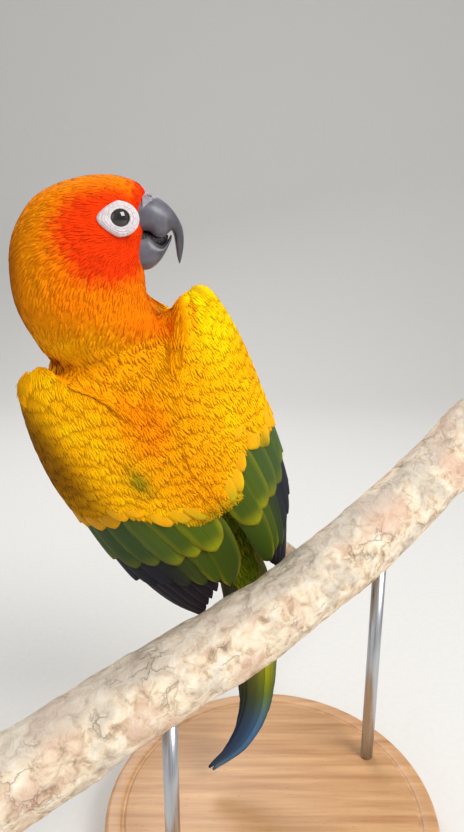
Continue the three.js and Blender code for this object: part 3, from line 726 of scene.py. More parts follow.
def facing_out(points: Array, faces: list[Sequence[int]]) -> list[Sequence[int]]:
    """Turns the faces of a closed mesh outward, going by its volume."""
    total = 0.0
    spots = np.asarray(points, float).reshape(-1, 3)
    spots = spots - spots.mean(0)
    for face in faces:
        for i in range(1, len(face) - 1):
            total += float(np.dot(spots[face[0]], np.cross(spots[face[i]], spots[face[i + 1]])))
    return [list(face)[::-1] for face in faces] if total < 0 else [list(face) for face in faces]


def loft(rings: Array) -> Shell:
    """A closed skin over rings, with a fan at each end.

    Args:
        rings: rings of points, as rings, points and three numbers.

    Returns:
        The points and the faces, which look outward.
    """
    count, width, _ = rings.shape
    points = np.vstack([rings.reshape(-1, 3), rings[0].mean(0), rings[-1].mean(0)])
    faces = grid_faces(count, width).tolist()
    first, last = count * width, count * width + 1
    for i in range(width):
        after = (i + 1) % width
        faces.append([first, after, i])
        faces.append([last, (count - 1) * width + i, (count - 1) * width + after])
    return points, facing_out(points, faces)


def join(shells: Iterable[Shell]) -> Shell:
    """Several meshes as one.

    Args:
        shells: the points and faces of each.

    Returns:
        All points and faces.
    """
    points, faces, start = [], [], 0
    for some, quads in shells:
        points.append(some)
        faces += [[corner + start for corner in quad] for quad in quads]
        start += len(some)
    return np.vstack(points), faces


def tube(line: Line, shares: Array, width: int, across: Sequence[float],
         size: Callable[[Array], tuple[Array, Array]]) -> Array:
    """Rings along a curve.

    Args:
        line: the middle line.
        shares: where the rings stand, as shares of its length.
        width: how many points a ring.
        across: the direction that the first half size follows.
        size: gives the two half sizes at the shares.

    Returns:
        Rings of points.
    """
    place, _, side, over = line.frames(shares, across)
    wide, deep = size(np.asarray(shares, float))
    angle = turns(width)
    return (place[:, None] + side[:, None] * (wide[:, None] * np.cos(angle))[..., None]
            + over[:, None] * (deep[:, None] * np.sin(angle))[..., None])


def blades(top: Array, under: Array) -> tuple[Array, Array]:
    """Closed thin blades from their upper and lower faces.

    Args:
        top: points of the upper faces, as blades, stations, places across and three numbers.
        under: the lower faces, likewise.

    Returns:
        The points, 2 * places across for each station, and the quads of all blades.
    """
    count, stations, width, _ = top.shape
    ring = np.concatenate([top, under[:, :, ::-1]], 2)
    around = 2 * width
    ends = np.arange(width - 1)
    start = np.stack([ends, around - 1 - ends, around - 2 - ends, ends + 1], -1)
    finish = np.stack([ends, ends + 1, around - 2 - ends, around - 1 - ends], -1)
    one = np.vstack([grid_faces(stations, around), start, finish + (stations - 1) * around])
    if facing_out(ring[0], one.tolist())[0] != one.tolist()[0]:
        one = one[:, ::-1]
    step = stations * around
    faces = (one[None] + (np.arange(count) * step)[:, None, None]).reshape(-1, 4)
    return ring.reshape(-1, 3), faces


def set_bake_map(thing: Object, spots: Array) -> None:
    """Stores a bake map, named OFBake, on the piece.

    Args:
        thing: the mesh object.
        spots: two numbers from 0 to 1 for each vertex.
    """
    layer = thing.data.uv_layers.new(name="OFBake")
    corners = np.empty(len(thing.data.loops), np.int32)
    thing.data.loops.foreach_get("vertex_index", corners)
    layer.data.foreach_set("uv", np.clip(spots, 0, 1)[corners].astype(np.float32).ravel())


def dress(thing: Object, finish: Material, slot: str, *nodes: str) -> None:
    """Gives a finished piece its material and its place in the model.

    Args:
        thing: the piece.
        finish: its material.
        slot: the record's material slot; not used.
        *nodes: the CAD nodes that it stands for.
    """
    thing.data.materials.clear()
    thing.data.materials.append(finish)
    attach(thing, "root")
    if nodes:
        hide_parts(*nodes)
    LOG.info("%s: %d faces", thing.name, len(thing.data.polygons))


def keep_only(thing: Object, *names: str) -> None:
    """Removes the helper attributes of a mesh, apart from the named ones."""
    found = [item.name for item in thing.data.attributes
             if not item.is_internal and not item.is_required and item.name not in names
             and item.domain == "POINT"]
    for name in found:
        thing.data.attributes.remove(thing.data.attributes[name])


def read_attribute(thing: Object, name: str, width: int) -> Array:
    """The values of a vertex attribute, one row for each vertex."""
    source = thing.data.attributes[name]
    flat = np.empty(len(thing.data.vertices) * width, np.float32)
    source.data.foreach_get(VALUE_NAMES[source.data_type], flat)
    return flat.reshape(-1, width).astype(float)


def tinted(thing: Object, colours: Array) -> None:
    """Stores colours as the piece's tint."""
    set_attribute(thing, "tint", "FLOAT_COLOR", np.clip(colours, 0, 1))


# Materials


def add_node(tree: NodeTree, kind: str, inputs: dict[str | int, Any] | None = None,
             **settings: Any) -> Node:
    """Adds a node with its settings and links.

    Args:
        tree: the tree that it goes into.
        kind: the node's type; a shader node's is named without its prefix.
        inputs: values, outputs or nodes for its sockets. A node gives its first live output, and
            a MapRange's sockets 1 to 4 are where it reads from and to, and what it gives.
        **settings: its properties.

    Returns:
        The node.
    """
    node = tree.nodes.new(kind if "Node" in kind else "ShaderNode" + kind)
    for key, value in settings.items():
        setattr(node, key, value)
    for key, value in (inputs or {}).items():
        if isinstance(value, Node):
            value = next(output for output in value.outputs if output.enabled)
        if isinstance(value, NodeSocket):
            tree.links.new(value, node.inputs[key])
        else:
            node.inputs[key].default_value = value
    return node


def new_material(name: str) -> tuple[Material, NodeTree]:
    """An empty material and its node tree."""
    made = bpy.data.materials.new(name)
    made.use_nodes = True
    made.node_tree.nodes.clear()
    return made, made.node_tree


def shaded_tint(tree: NodeTree, shade: Node) -> Node:
    """The piece's own tint, multiplied by a shade."""
    tint = add_node(tree, "Attribute", attribute_name="tint")
    return add_node(tree, "Mix", {0: 1.0, 6: tint, 7: shade}, data_type="RGBA", blend_type="MULTIPLY")


def close_surface(tree: NodeTree, colour: Node,
                  relief: tuple[float, float, Node] | None = None, **values: Any) -> None:
    """Ends a material with its surface shader.

    Args:
        tree: the material's tree.
        colour: what gives the base colour.
        relief: the bump's strength, its depth in metres and what gives its height.
        **values: the shader's other inputs, with _ for spaces.
    """
    inputs = {key.replace("_", " "): value for key, value in values.items()}
    if relief:
        inputs["Normal"] = add_node(tree, "Bump", dict(zip(("Strength", "Distance", "Height"), relief)))
    shader = add_node(tree, "BsdfPrincipled", {"Base Color": colour, **inputs})
    add_node(tree, "OutputMaterial", {"Surface": shader})


@dataclass(frozen=True)
class VanePlumage:
    """Feather vanes: matt, with slanted barbs that catch the light as fine streaks."""

    name: str = "feather_vane"
    barb_spacing: float = 0.7
    roughness: float = 0.62
    contrast: float = 0.14
    gloss: float = 0.14
    relief: float = 0.4

    def make(self) -> Material:
        """Makes the material. Real barbs stand 0.3 mm apart and are drawn coarser to show."""
        made, tree = new_material(self.name)
        vane = add_node(tree, "Attribute", attribute_name="vane").outputs["Vector"]
        x, y, z = add_node(tree, "SeparateXYZ", {0: vane}).outputs
        across = add_node(tree, "Math", {0: x}, operation="ABSOLUTE")
        slant = add_node(tree, "Math", {0: across, 1: -1.5, 2: y}, operation="MULTIPLY_ADD")
        place = add_node(tree, "CombineXYZ", {0: slant, 1: across, 2: z})
        wander = add_node(tree, "TexNoise", {
            "Vector": place, "Scale": 1.1, "Detail": 2.0, "Roughness": 0.6})
        phase = add_node(tree, "Math", {0: wander, 1: 1.6, 2: slant}, operation="MULTIPLY_ADD")
        turn = add_node(tree, "Math", {0: phase, 1: 2 * math.pi / self.barb_spacing},
                        operation="MULTIPLY")
        barb = add_node(tree, "Math", {0: turn}, operation="SINE")
        shaft = add_node(tree, "MapRange", {0: across, 1: 0.12, 2: 0.45, 3: 1.0, 4: 0.0})
        shade = add_node(tree, "MapRange", {
            0: barb, 1: -1.0, 2: 1.0, 3: 1 - self.contrast, 4: 1 + 0.5 * self.contrast})
        fine = add_node(tree, "TexNoise", {"Vector": place, "Scale": 3.5, "Detail": 3.0})
        patch = add_node(tree, "MapRange", {0: fine, 1: 0.3, 2: 0.7, 3: 0.92, 4: 1.08})
        both = add_node(tree, "Math", {0: shade, 1: patch}, operation="MULTIPLY")
        dark = add_node(tree, "Math", {0: shaft, 1: -0.25 * self.relief, 2: both},
                        operation="MULTIPLY_ADD")
        height = add_node(tree, "Math", {0: shaft, 1: 1.2, 2: barb}, operation="MULTIPLY_ADD")
        close_surface(tree, shaded_tint(tree, dark), (self.relief, 0.0001, height),
                      Roughness=self.roughness, Specular_IOR_Level=self.gloss)
        return made


@dataclass(frozen=True)
class DownSkin:
    """Skin with down under the feathers: soft, dull and without gloss."""

    name: str = "down_skin"
    fluff: float = 1.2

    def make(self) -> Material:
        """Makes the material from the piece's tint, darkened a little, varying with the noise: painted
        shade between the feathers.
        """
        made, tree = new_material(self.name)
        place = add_node(tree, "TexCoord").outputs["Object"]
        noise = add_node(tree, "TexNoise", {"Vector": place, "Scale": 1000 / self.fluff, "Detail": 4.0})
        shade = add_node(tree, "MapRange", {0: noise, 1: 0.3, 2: 0.7, 3: 0.85, 4: 1.0})
        close_surface(tree, shaded_tint(tree, shade), (0.5, 0.0003, noise), Roughness=0.9,
                      Specular_IOR_Level=0.05)
        return made


@dataclass(frozen=True)
class TintedHide:
    """A surface whose colour comes from the piece's tint, with fine relief and its own gloss.

    It serves bare facial skin (finely wrinkled, satin), bill horn (smooth, satin with worn
    flakes), claws (glossy horn) and the scaled skin of the feet.
    """

    name: str
    grain: float
    relief: float
    roughness: float
    wrinkle: float = 0.0
    coat: float = 0.0
    soft: float = 0.0
    contrast: float = 0.15

    def make(self) -> Material:
        """Makes the material. Grain is the size of one fleck, in millimetres."""
        made, tree = new_material(self.name)
        place = add_node(tree, "TexCoord").outputs["Object"]
        noise = add_node(tree, "TexNoise", {
            "Vector": place, "Scale": 1000 / self.grain, "Detail": 5.0, "Roughness": 0.6})
        cells = add_node(tree, "TexVoronoi", {"Vector": place, "Scale": 1000 / (self.grain * 1.6)},
                         feature="DISTANCE_TO_EDGE")
        crease = add_node(tree, "MapRange", {0: cells, 1: 0.0, 2: 0.12, 3: -self.wrinkle, 4: 0.0})
        height = add_node(tree, "Math", {0: noise, 1: crease}, operation="ADD")
        # Painted shade: the colour is darker where the relief is low, in the creases and seams; the
        # noise adds random tone.
        shade = add_node(tree, "MapRange", {
            0: height, 1: 0.3 - self.wrinkle * 0.5, 2: 0.7, 3: 1 - self.contrast,
            4: 1 + self.contrast * 0.6})
        polish = add_node(tree, "MapRange", {
            0: noise, 1: 0.3, 2: 0.7, 3: self.roughness * 0.85, 4: min(1.0, self.roughness * 1.2)})
        close_surface(tree, shaded_tint(tree, shade), (0.6, self.relief * MM, height),
                      Roughness=polish, Coat_Weight=self.coat, Coat_Roughness=0.12,
                      Subsurface_Weight=self.soft, Subsurface_Scale=0.001)
        return made


@dataclass(frozen=True)
class WetEye:
    """The eyeball: dark brown iris under a clear wet cornea, so it mirrors the lights."""

    name: str = "eye_glass"

    def make(self) -> Material:
        """Makes the material, with a faint fibre pattern in the iris."""
        made, tree = new_material(self.name)
        place = add_node(tree, "TexCoord").outputs["Object"]
        noise = add_node(tree, "TexNoise", {"Vector": place, "Scale": 2500.0, "Detail": 3.0})
        shade = add_node(tree, "MapRange", {0: noise, 1: 0.3, 2: 0.7, 3: 0.8, 4: 1.2})
        close_surface(tree, shaded_tint(tree, shade), Roughness=0.06, Coat_Weight=1.0,
                      Coat_Roughness=0.02, IOR=1.38)
        return made


@dataclass(frozen=True)
class BarkedBranch:
    """Dry pale branch: weathered bark with cracks along it, pinkish patches and a raw cut end."""

    name: str = "weathered_bark"
    chip: float = 5.0
    crack: float = 8.0

    def make(self) -> Material:
        """Makes the material; the piece's grain attribute runs along the branch."""
        made, tree = new_material(self.name)
        grain = add_node(tree, "Attribute", attribute_name="grain").outputs["Vector"]
        cut, upper = (add_node(tree, "Attribute", attribute_name=name).outputs["Fac"]
                      for name in ("cut", "upper"))
        place = add_node(tree, "TexCoord").outputs["Object"]
        chips = add_node(tree, "TexNoise", {
            "Vector": place, "Scale": 1000 / self.chip, "Detail": 6.0, "Roughness": 0.6,
            "Distortion": 0.6})
        along = add_node(tree, "Mapping", {"Vector": grain, "Scale": (1000 / 12, 1000 / 5, 1000 / 5)})
        fibre = add_node(tree, "TexNoise", {
            "Vector": along, "Scale": 1.0, "Detail": 8.0, "Roughness": 0.66})
        split = add_node(tree, "Mapping", {
            "Vector": grain, "Scale": (1000 / 19, 1000 / self.crack, 1000 / self.crack)})
        bent = add_node(tree, "VectorMath", {
            0: chips.outputs["Color"], 1: (0.9, 0.9, 0.9), 2: split}, operation="MULTIPLY_ADD")
        cracks = add_node(tree, "TexVoronoi", {"Vector": bent, "Scale": 1.0, "Randomness": 1.0},
                          feature="DISTANCE_TO_EDGE")
        line = add_node(tree, "MapRange", {0: cracks, 1: 0.0, 2: 0.035, 3: 1.0, 4: 0.0})
        some = add_node(tree, "TexNoise", {"Vector": place, "Scale": 1000 / 16, "Detail": 2.0})
        gate = add_node(tree, "MapRange", {0: some, 1: 0.5, 2: 0.64})
        crack = add_node(tree, "Math", {0: line, 1: gate}, operation="MULTIPLY")
        crack = add_node(tree, "Math", {0: crack, 1: 0.35}, operation="MULTIPLY")
        broad = add_node(tree, "TexNoise", {"Vector": place, "Scale": 1000 / 18, "Detail": 5.0})
        mixed = add_node(tree, "Math", {0: fibre, 1: 0.45, 2: chips}, operation="MULTIPLY_ADD")
        base = add_node(tree, "ValToRGB", {"Fac": mixed})
        stops = base.color_ramp.elements
        stops[0].position, stops[0].color = 0.5, linear("#8f7c68")
        stops[1].position, stops[1].color = 0.9, linear("#f3e6d0")
        stops.new(0.6).color = linear("#c4a98c")
        stops.new(0.72).color = linear("#e4d0b3")
        pink = add_node(tree, "MapRange", {0: broad, 1: 0.5, 2: 0.62, 4: 0.65})
        pale = add_node(tree, "MapRange", {0: broad, 1: 0.46, 2: 0.34, 4: 0.5})
        greyer = add_node(tree, "Math", {0: pale, 1: upper}, operation="MAXIMUM")
        rings = add_node(tree, "TexWave", {
            "Vector": grain, "Scale": 1000 / 6, "Distortion": 2.0, "Detail": 3.0,
            "Detail Scale": 1.5}, wave_type="RINGS", rings_direction="X", wave_profile="SAW")
        wood = add_node(tree, "Mix", {0: rings.outputs["Fac"], 6: linear("#c8a577"),
                                      7: linear("#e3c9a0")}, data_type="RGBA")
        colour = base
        for share, other in ((pink, linear("#cfa890")), (greyer, linear("#b3aea4")),
                             (crack, linear("#7a6550")), (cut, wood)):
            colour = add_node(tree, "Mix", {0: share, 6: colour, 7: other}, data_type="RGBA")
        low = add_node(tree, "Math", {0: crack, 1: -0.5, 2: mixed}, operation="MULTIPLY_ADD")
        close_surface(tree, colour, (0.9, 0.0016, low), Roughness=0.82, Specular_IOR_Level=0.3)
        return made


@dataclass(frozen=True)
class OiledBeech:
    """Turned beech for the base: fine straight grain with short flecks under a satin oil."""

    name: str = "oiled_beech"

    def make(self) -> Material:
        """Makes the material on object coordinates, the grain along x."""
        made, tree = new_material(self.name)
        place = add_node(tree, "TexCoord").outputs["Object"]
        long = add_node(tree, "Mapping", {"Vector": place, "Scale": (1000 / 70, 1000 / 4, 1000 / 4)})
        grain = add_node(tree, "TexNoise", {
            "Vector": long, "Scale": 1.0, "Detail": 7.0, "Roughness": 0.55})
        short = add_node(tree, "Mapping", {
            "Vector": place, "Scale": (1000 / 3, 1000 / 0.6, 1000 / 0.6)})
        fleck = add_node(tree, "TexNoise", {"Vector": short, "Scale": 1.0, "Detail": 2.0})
        spots = add_node(tree, "MapRange", {0: fleck, 1: 0.62, 2: 0.75, 4: 0.35})
        base = add_node(tree, "ValToRGB", {"Fac": grain})
        stops = base.color_ramp.elements
        stops[0].position, stops[0].color = 0.3, linear("#a9794c")
        stops[1].position, stops[1].color = 0.7, linear("#cfa273")
        colour = add_node(tree, "Mix", {0: spots, 6: base, 7: linear("#8a5c37")}, data_type="RGBA")
        close_surface(tree, colour, (0.3, 0.0001, grain), Roughness=0.42, Coat_Weight=0.15,
                      Coat_Roughness=0.3)
        return made


@dataclass(frozen=True)
class BrushedSteel:
    """Stainless rod, drawn and brushed along its length: soft long highlights."""

    name: str = "brushed_steel"

    def make(self) -> Material:
        """Makes the material with brush lines 0.5 mm apart."""
        made, tree = new_material(self.name)
        place = add_node(tree, "TexCoord").outputs["Object"]
        drawn = add_node(tree, "Mapping", {"Vector": place, "Scale": (2000.0, 2000.0, 1000 / 40)})
        lines = add_node(tree, "TexNoise", {"Vector": drawn, "Scale": 1.0, "Detail": 3.0})
        polish = add_node(tree, "MapRange", {0: lines, 1: 0.3, 2: 0.7, 3: 0.24, 4: 0.4})
        colour = add_node(tree, "Mix", {0: lines, 6: linear("#a9abae"), 7: linear("#cfd1d4")},
                          data_type="RGBA")
        close_surface(tree, colour, (0.2, 0.00005, lines), Metallic=1.0, Roughness=polish)
        return made


@dataclass(frozen=True)
class PaperFloor:
    """Studio paper: plain, pale and matt."""

    name: str = "studio_paper"

    def make(self) -> Material:
        """Makes the material with a faint tooth."""
        made, tree = new_material(self.name)
        place = add_node(tree, "TexCoord").outputs["Object"]
        noise = add_node(tree, "TexNoise", {"Vector": place, "Scale": 300.0, "Detail": 2.0})
        colour = add_node(tree, "Mix", {0: noise, 6: linear("#d4d2cd"), 7: linear("#dcdad6")},
                          data_type="RGBA")
        close_surface(tree, colour, Roughness=0.9, Specular_IOR_Level=0.2)
        return made


class Finishes:
    """The materials, made once."""

    def __init__(self) -> None:
        """Makes every material of the model."""
        self.vane = VanePlumage().make()
        self.tuft = VanePlumage("feather_tuft", barb_spacing=0.5, roughness=0.85, contrast=0.04,
                                gloss=0.05, relief=0.05).make()
        self.skin = DownSkin().make()
        self.bare = TintedHide("bare_facial_skin", grain=0.9, relief=0.25, roughness=0.5,
                               wrinkle=0.5, soft=0.15, contrast=0.1).make()
        self.horn = TintedHide("bill_horn", grain=1.6, relief=0.05, roughness=0.42, coat=0.06,
                               soft=0.05, contrast=0.2).make()
        self.claw = TintedHide("claw_horn", grain=1.2, relief=0.03, roughness=0.3, coat=0.35).make()
        self.scales = TintedHide("scaled_foot_skin", grain=0.8, relief=0.3, roughness=0.55,
                                 wrinkle=0.9, soft=0.05, contrast=0.3).make()
        self.eye = WetEye().make()
        self.bark = BarkedBranch().make()
        self.beech = OiledBeech().make()
        self.steel = BrushedSteel().make()
        self.paper = PaperFloor().make()


# Small feathers


@dataclass(frozen=True)
class Tuft:
    """One barb of a small feather: a closed slim blade, 1 long, 1 to either side and 1 high."""

    outline: tuple[tuple[float, float, float], ...] = (
        (0.0, 0.45, 0.0), (0.35, 1.0, 0.8), (0.7, 0.75, 0.8), (1.0, 0.08, 0.1))
    arch: float = 0.2
    thick: float = 0.9

    def make(self, name: str) -> Object:
        """Makes the blade as an object that the scatter repeats.

        Args:
            name: the object's name.

        Returns:
            The object, one metre to a unit.
        """
        rings, marks = [], []
        for along, breadth, height in self.outline:
            low = height - self.arch * breadth
            rings.append([(-breadth, along, low), (0, along, height), (breadth, along, low),
                          (0, along, height - self.thick)])
            marks += [(x, along, 0.0) for x in (-breadth, 0.0, breadth, 0.0)]
        points, faces = loft(np.array(rings))
        made = add_object(name, points / MM, faces)
        set_attribute(made, "mark", "FLOAT_VECTOR", np.array([*marks, (0, 0, 0), (0, 1, 0)]))
        return made


def scatter_tree() -> NodeTree:
    """The node tree that sets one barb on each point of a cloud.

    Returns:
        The tree, whose inputs are the barb's object and material, its sizes and a seed.
    """
    tree = bpy.data.node_groups.new("feather_scatter", "GeometryNodeTree")
    for name, kind, value in (("Roots", "Geometry", None), ("Feather", "Object", None),
                              ("Finish", "Material", None), ("Half width", "Float", 0.3),
                              ("Rise", "Float", 0.2), ("Variation", "Float", 0.2),
                              ("Seed", "Int", SEED)):
        socket = tree.interface.new_socket(name, in_out="INPUT", socket_type="NodeSocket" + kind)
        if value is not None:
            socket.default_value = value
    tree.interface.new_socket("Coat", in_out="OUTPUT", socket_type="NodeSocketGeometry")
    given = add_node(tree, "NodeGroupInput").outputs
    lie, facing, reach = (
        add_node(tree, "GeometryNodeInputNamedAttribute", {"Name": name}, data_type=kind)
        for name, kind in (("lie", "FLOAT_VECTOR"), ("facing", "FLOAT_VECTOR"), ("reach", "FLOAT")))
    along = add_node(tree, "FunctionNodeAlignRotationToVector", {"Vector": lie}, axis="Y")
    upright = add_node(tree, "FunctionNodeAlignRotationToVector",
                       {"Rotation": along, "Vector": facing}, axis="Z", pivot_axis="Y")
    low, high = (add_node(tree, "Math", {0: 1.0, 1: given["Variation"]}, operation=operation)
                 for operation in ("SUBTRACT", "ADD"))
    vary = add_node(tree, "FunctionNodeRandomValue", {2: low, 3: high, "Seed": given["Seed"]},
                    data_type="FLOAT")
    length = add_node(tree, "Math", {0: reach, 1: vary}, operation="MULTIPLY")
    wide = add_node(tree, "Math", {0: reach, 1: given["Half width"]}, operation="MULTIPLY")
    tall = add_node(tree, "Math", {0: length, 1: given["Rise"]}, operation="MULTIPLY")
    size = add_node(tree, "CombineXYZ", {0: wide, 1: length, 2: tall})
    thing = add_node(tree, "GeometryNodeObjectInfo", {"Object": given["Feather"]})
    planted = add_node(tree, "GeometryNodeInstanceOnPoints", {
        "Points": given["Roots"], "Instance": thing.outputs["Geometry"], "Rotation": upright,
        "Scale": size})
    real = add_node(tree, "GeometryNodeRealizeInstances", {"Geometry": planted})
    faced = add_node(tree, "GeometryNodeSetMaterial", {"Geometry": real, "Material": given["Finish"]})
    add_node(tree, "NodeGroupOutput", {"Coat": faced})
    return tree


def thin_out(points: Array, gaps: Array) -> Array:
    """Picks points so that no two stand closer than their gap.

    Args:
        points: candidates, in the order in which they are tried.
        gaps: the gap of each candidate.

    Returns:
        The numbers of the kept ones.
    """
    cell = float(gaps.max())
    grid: dict[tuple[int, int, int], list[int]] = {}
    kept = []
    keys = np.floor(points / cell).astype(int)
    near = list(itertools.product((-1, 0, 1), repeat=3))
    spots = points.tolist()
    limits = (gaps ** 2).tolist()
    for i, (a, b, c) in enumerate(keys.tolist()):
        x, y, z = spots[i]
        limit = limits[i]
        clear = True
        for da, db, dc in near:
            for j in grid.get((a + da, b + db, c + dc), ()):
                u, v, w = spots[j]
                if (x - u) ** 2 + (y - v) ** 2 + (z - w) ** 2 < limit:
                    clear = False
                    break
            if not clear:
                break
        if clear:
            grid.setdefault((a, b, c), []).append(i)
            kept.append(i)
    return np.array(kept, int)


class Ground:
    """A surface on which feathers are rooted."""

    def __init__(self, places: Array, faces: Sequence[Sequence[int]]) -> None:
        """Measures the surface and turns it outward from the bird's middle.

        Args:
            places: its vertices, in the model's frame.
            faces: its faces, of three or four corners.
        """
        self.places = places
        self.corners = np.array([face[:3] for face in faces]
                                + [(face[0], face[2], face[3]) for face in faces if len(face) > 3])
        a, b, c = (places[self.corners[:, k]] for k in range(3))
        flat = np.cross(b - a, c - a)
        self.areas = np.linalg.norm(flat, axis=-1) / 2
        total = np.zeros_like(places)
        for k in range(3):
            np.add.at(total, self.corners[:, k], flat)
        outward = np.sum(total * (places - np.array(BIRD.origin))) > 0
        self.normals = unit(total if outward else -total)
        self.tree = BVHTree.FromPolygons(places.tolist(), self.corners.tolist())

    @classmethod
    def of_mesh(cls, thing: Object) -> "Ground":
        """The surface of a mesh object."""
        return cls(places_of(thing), [tuple(face.vertices) for face in thing.data.polygons])

    @classmethod
    def of_form(cls, form: Callable[[Array, Array], Array], rows: int, columns: int) -> "Ground":
        """The surface of a form read at two shares from 0 to 1."""
        s, a = np.meshgrid(np.linspace(0, 1, rows), np.linspace(0, 1, columns), indexing="ij")
        return cls(form(s, a).reshape(-1, 3), grid_faces(rows, columns, False).tolist())

    def nearest(self, places: Array) -> Array:
        """The place of the surface nearest to each given one."""
        return np.array([tuple(self.tree.find_nearest(spot)[0]) for spot in places.tolist()])

    def sample(self, source: np.random.Generator, closest: float) -> tuple[Array, Array]:
        """Picks many places all over the skin.

        Args:
            source: the seeded random numbers.
            closest: the smallest gap that will be kept between two of them.

        Returns:
            The places and the way that the skin looks there.
        """
        a, b, c = (self.places[self.corners[:, k]] for k in range(3))
        count = int(self.areas.sum() / closest ** 2 * 5)
        picked = source.choice(len(self.areas), count, p=self.areas / self.areas.sum())
        u, v = source.random((2, count))
        u, v = np.where(u + v > 1, 1 - u, u)[:, None], np.where(u + v > 1, 1 - v, v)[:, None]
        places = a[picked] * (1 - u - v) + b[picked] * u + c[picked] * v
        n0, n1, n2 = (self.normals[self.corners[picked, k]] for k in range(3))
        return places, unit(n0 * (1 - u - v) + n1 * u + n2 * v)


@dataclass
class Coat:
    """Small feathers over a surface, each made of many barbs.

    The unwrap gives each place its two shares of the bake map. Spacing is the gap between
    barbs and feather the gap between feathers, in millimetres.
    """

    name: str
    slot: str
    nodes: tuple[str, ...]
    ground: Ground
    spacing: Field
    lie: Field
    colour: Callable[[Array, Array], Array]
    keep: Field
    unwrap: Field
    feather: float = 3.0
    stretch: float = 6.0
    half_width: float = 0.115
    rise: float = 0.022
    variation: float = 0.2
    spread_angle: float = 0.07
    closest: float = 1.0
    step: float = 0.085

    def gather(self, place: Array, lie: Array, facing: Array,
               source: np.random.Generator) -> tuple[Array, Array, Array]:
        """Gathers the barbs into feathers that overlap like tiles.

        Args:
            place: the barbs' roots.
            lie: the way each points.
            facing: the way the surface looks.
            source: the seeded random numbers.

        Returns:
            For each barb: its place along its feather, across it, and the feather's own chance
            value.
        """
        heads = thin_out(place, np.full(len(place), self.feather))
        side = np.cross(lie, facing)
        best = np.full(len(place), np.inf)
        along, across, luck = (np.zeros(len(place)) for _ in range(3))
        for head, chance in zip(heads, source.normal(0, 1, len(heads))):
            gap = place - place[head]
            ahead = np.sum(gap * lie, -1)
            far = np.sum(gap * gap, -1) - 0.5 * ahead * ahead
            closer = far < best
            best = np.where(closer, far, best)
            along = np.where(closer, ahead, along)
            across = np.where(closer, np.sum(gap * side, -1), across)
            luck = np.where(closer, chance, luck)
        return along / self.feather, across / self.feather, luck

    def roots(self) -> dict[str, Array]:
        """Chooses where the barbs grow and how each lies, as named arrays."""
        source = np.random.default_rng(SEED)
        place, facing = self.ground.sample(source, self.closest)
        wanted = self.keep(place)
        place, facing = place[wanted], facing[wanted]
        chosen = thin_out(place, self.spacing(place))
        place, facing = place[chosen], facing[chosen]
        lie = unit(self.lie(place))
        lie = unit(lie - facing * np.sum(lie * facing, -1, keepdims=True))
        along, across, luck = self.gather(place, lie, facing, source)
        swing = (source.normal(0, self.spread_angle, len(place)) - 0.4 * across)[:, None]
        lie = unit(lie * np.cos(swing) + np.cross(facing, lie) * np.sin(swing))
        reach = self.spacing(place) * self.stretch
        tips = self.ground.nearest(place + lie * reach[:, None])
        lie = unit(tips - place + lie * 0.2)
        lift = (np.clip(along, -0.6, 0.7) * self.step * self.feather - 0.05)[:, None]
        # Painted shade and light: each feather is darker at its root, under the feather before it, and
        # lighter at its tip; luck and noise add random tone.
        rim = ramp(along, -0.5, 0.5)
        shade = 0.92 + 0.16 * rim + 0.04 * luck + source.normal(0, 0.03, len(place))
        return {"place": place + facing * lift, "facing": facing, "lie": lie, "reach": reach,
                "tint": self.colour(place, facing) * shade[:, None],
                "root_uv": self.unwrap(place)}

    def build(self, tree: NodeTree, feather: Object, finish: Material) -> Object:
        """Grows the feathers.

        Args:
            tree: the scatter tree.
            feather: the barb that is repeated.
            finish: the feathers' material.

        Returns:
            The coat as one plain mesh.
        """
        roots = self.roots()
        cloud = add_object(self.name + "_roots", roots["place"], [])
        for name in ("facing", "lie"):
            set_attribute(cloud, name, "FLOAT_VECTOR", roots[name])
        set_attribute(cloud, "reach", "FLOAT", roots["reach"] * MM)
        tinted(cloud, roots["tint"])
        uv = np.concatenate([roots["root_uv"], np.random.default_rng(SEED).random(
            (len(roots["place"]), 1)) * 40], -1)
        set_attribute(cloud, "root_uv", "FLOAT_VECTOR", uv)
        modifier = cloud.modifiers.new("feathers", "NODES")
        modifier.node_group = tree
        values = {"Feather": feather, "Finish": finish, "Half width": self.half_width,
                  "Rise": self.rise, "Variation": self.variation, "Seed": SEED}
        for item in tree.interface.items_tree:
            if item.in_out == "INPUT" and item.name in values:
                modifier[item.identifier] = values[item.name]
        mesh = evaluated_mesh(cloud)
        made = new_object(self.name, mesh)
        mesh.name = self.name
        cloud.modifiers.remove(modifier)
        bpy.data.objects.remove(cloud)
        mark = read_attribute(made, "mark", 3)
        root = read_attribute(made, "root_uv", 3)
        reach = read_attribute(made, "reach", 1) / MM
        vane = np.concatenate([mark[:, :1] * self.half_width * reach, mark[:, 1:2] * reach,
                               root[:, 2:3]], -1)
        set_attribute(made, "vane", "FLOAT_VECTOR", vane)
        set_bake_map(made, root[:, :2] * 0.994 + 0.003
                     + np.stack([mark[:, 0], mark[:, 1] * 2 - 1], -1) * 0.0015)
        keep_only(made, "vane", "tint", "position")
        mesh.polygons.foreach_set("use_smooth", np.ones(len(mesh.polygons), bool))
        dress(made, finish, self.slot, *self.nodes)
        return made


def ring_spot(points: Array, side: int) -> tuple[Array, Array, Array]:
    """Places relative to the bare skin round an eye.

    Args:
        points: places in the head's frame.
        side: -1 for the bird's right eye and 1 for its left.

    Returns:
        How far ahead, how far up, and how far out from the cheek each lies.
    """
    place, ahead, up, outward = HEAD_FORM.cheek(EYE.ahead, EYE.up, EYE.facing)
    local = points * np.array([1, -side, 1]) - place
    return local @ ahead, local @ up, local @ outward


def ring_share(points: Array) -> Array:
    """How far from the eye a place is: 1 on the edge of the bare skin of the nearer eye."""
    best = np.full(points.shape[:-1], 9.0)
    for side in (-1, 1):
        ahead, up, out = ring_spot(points, side)
        share = EYE.ring_share(ahead, up)
        best = np.where(np.abs(out) < 7, np.minimum(best, share), best)
    return best


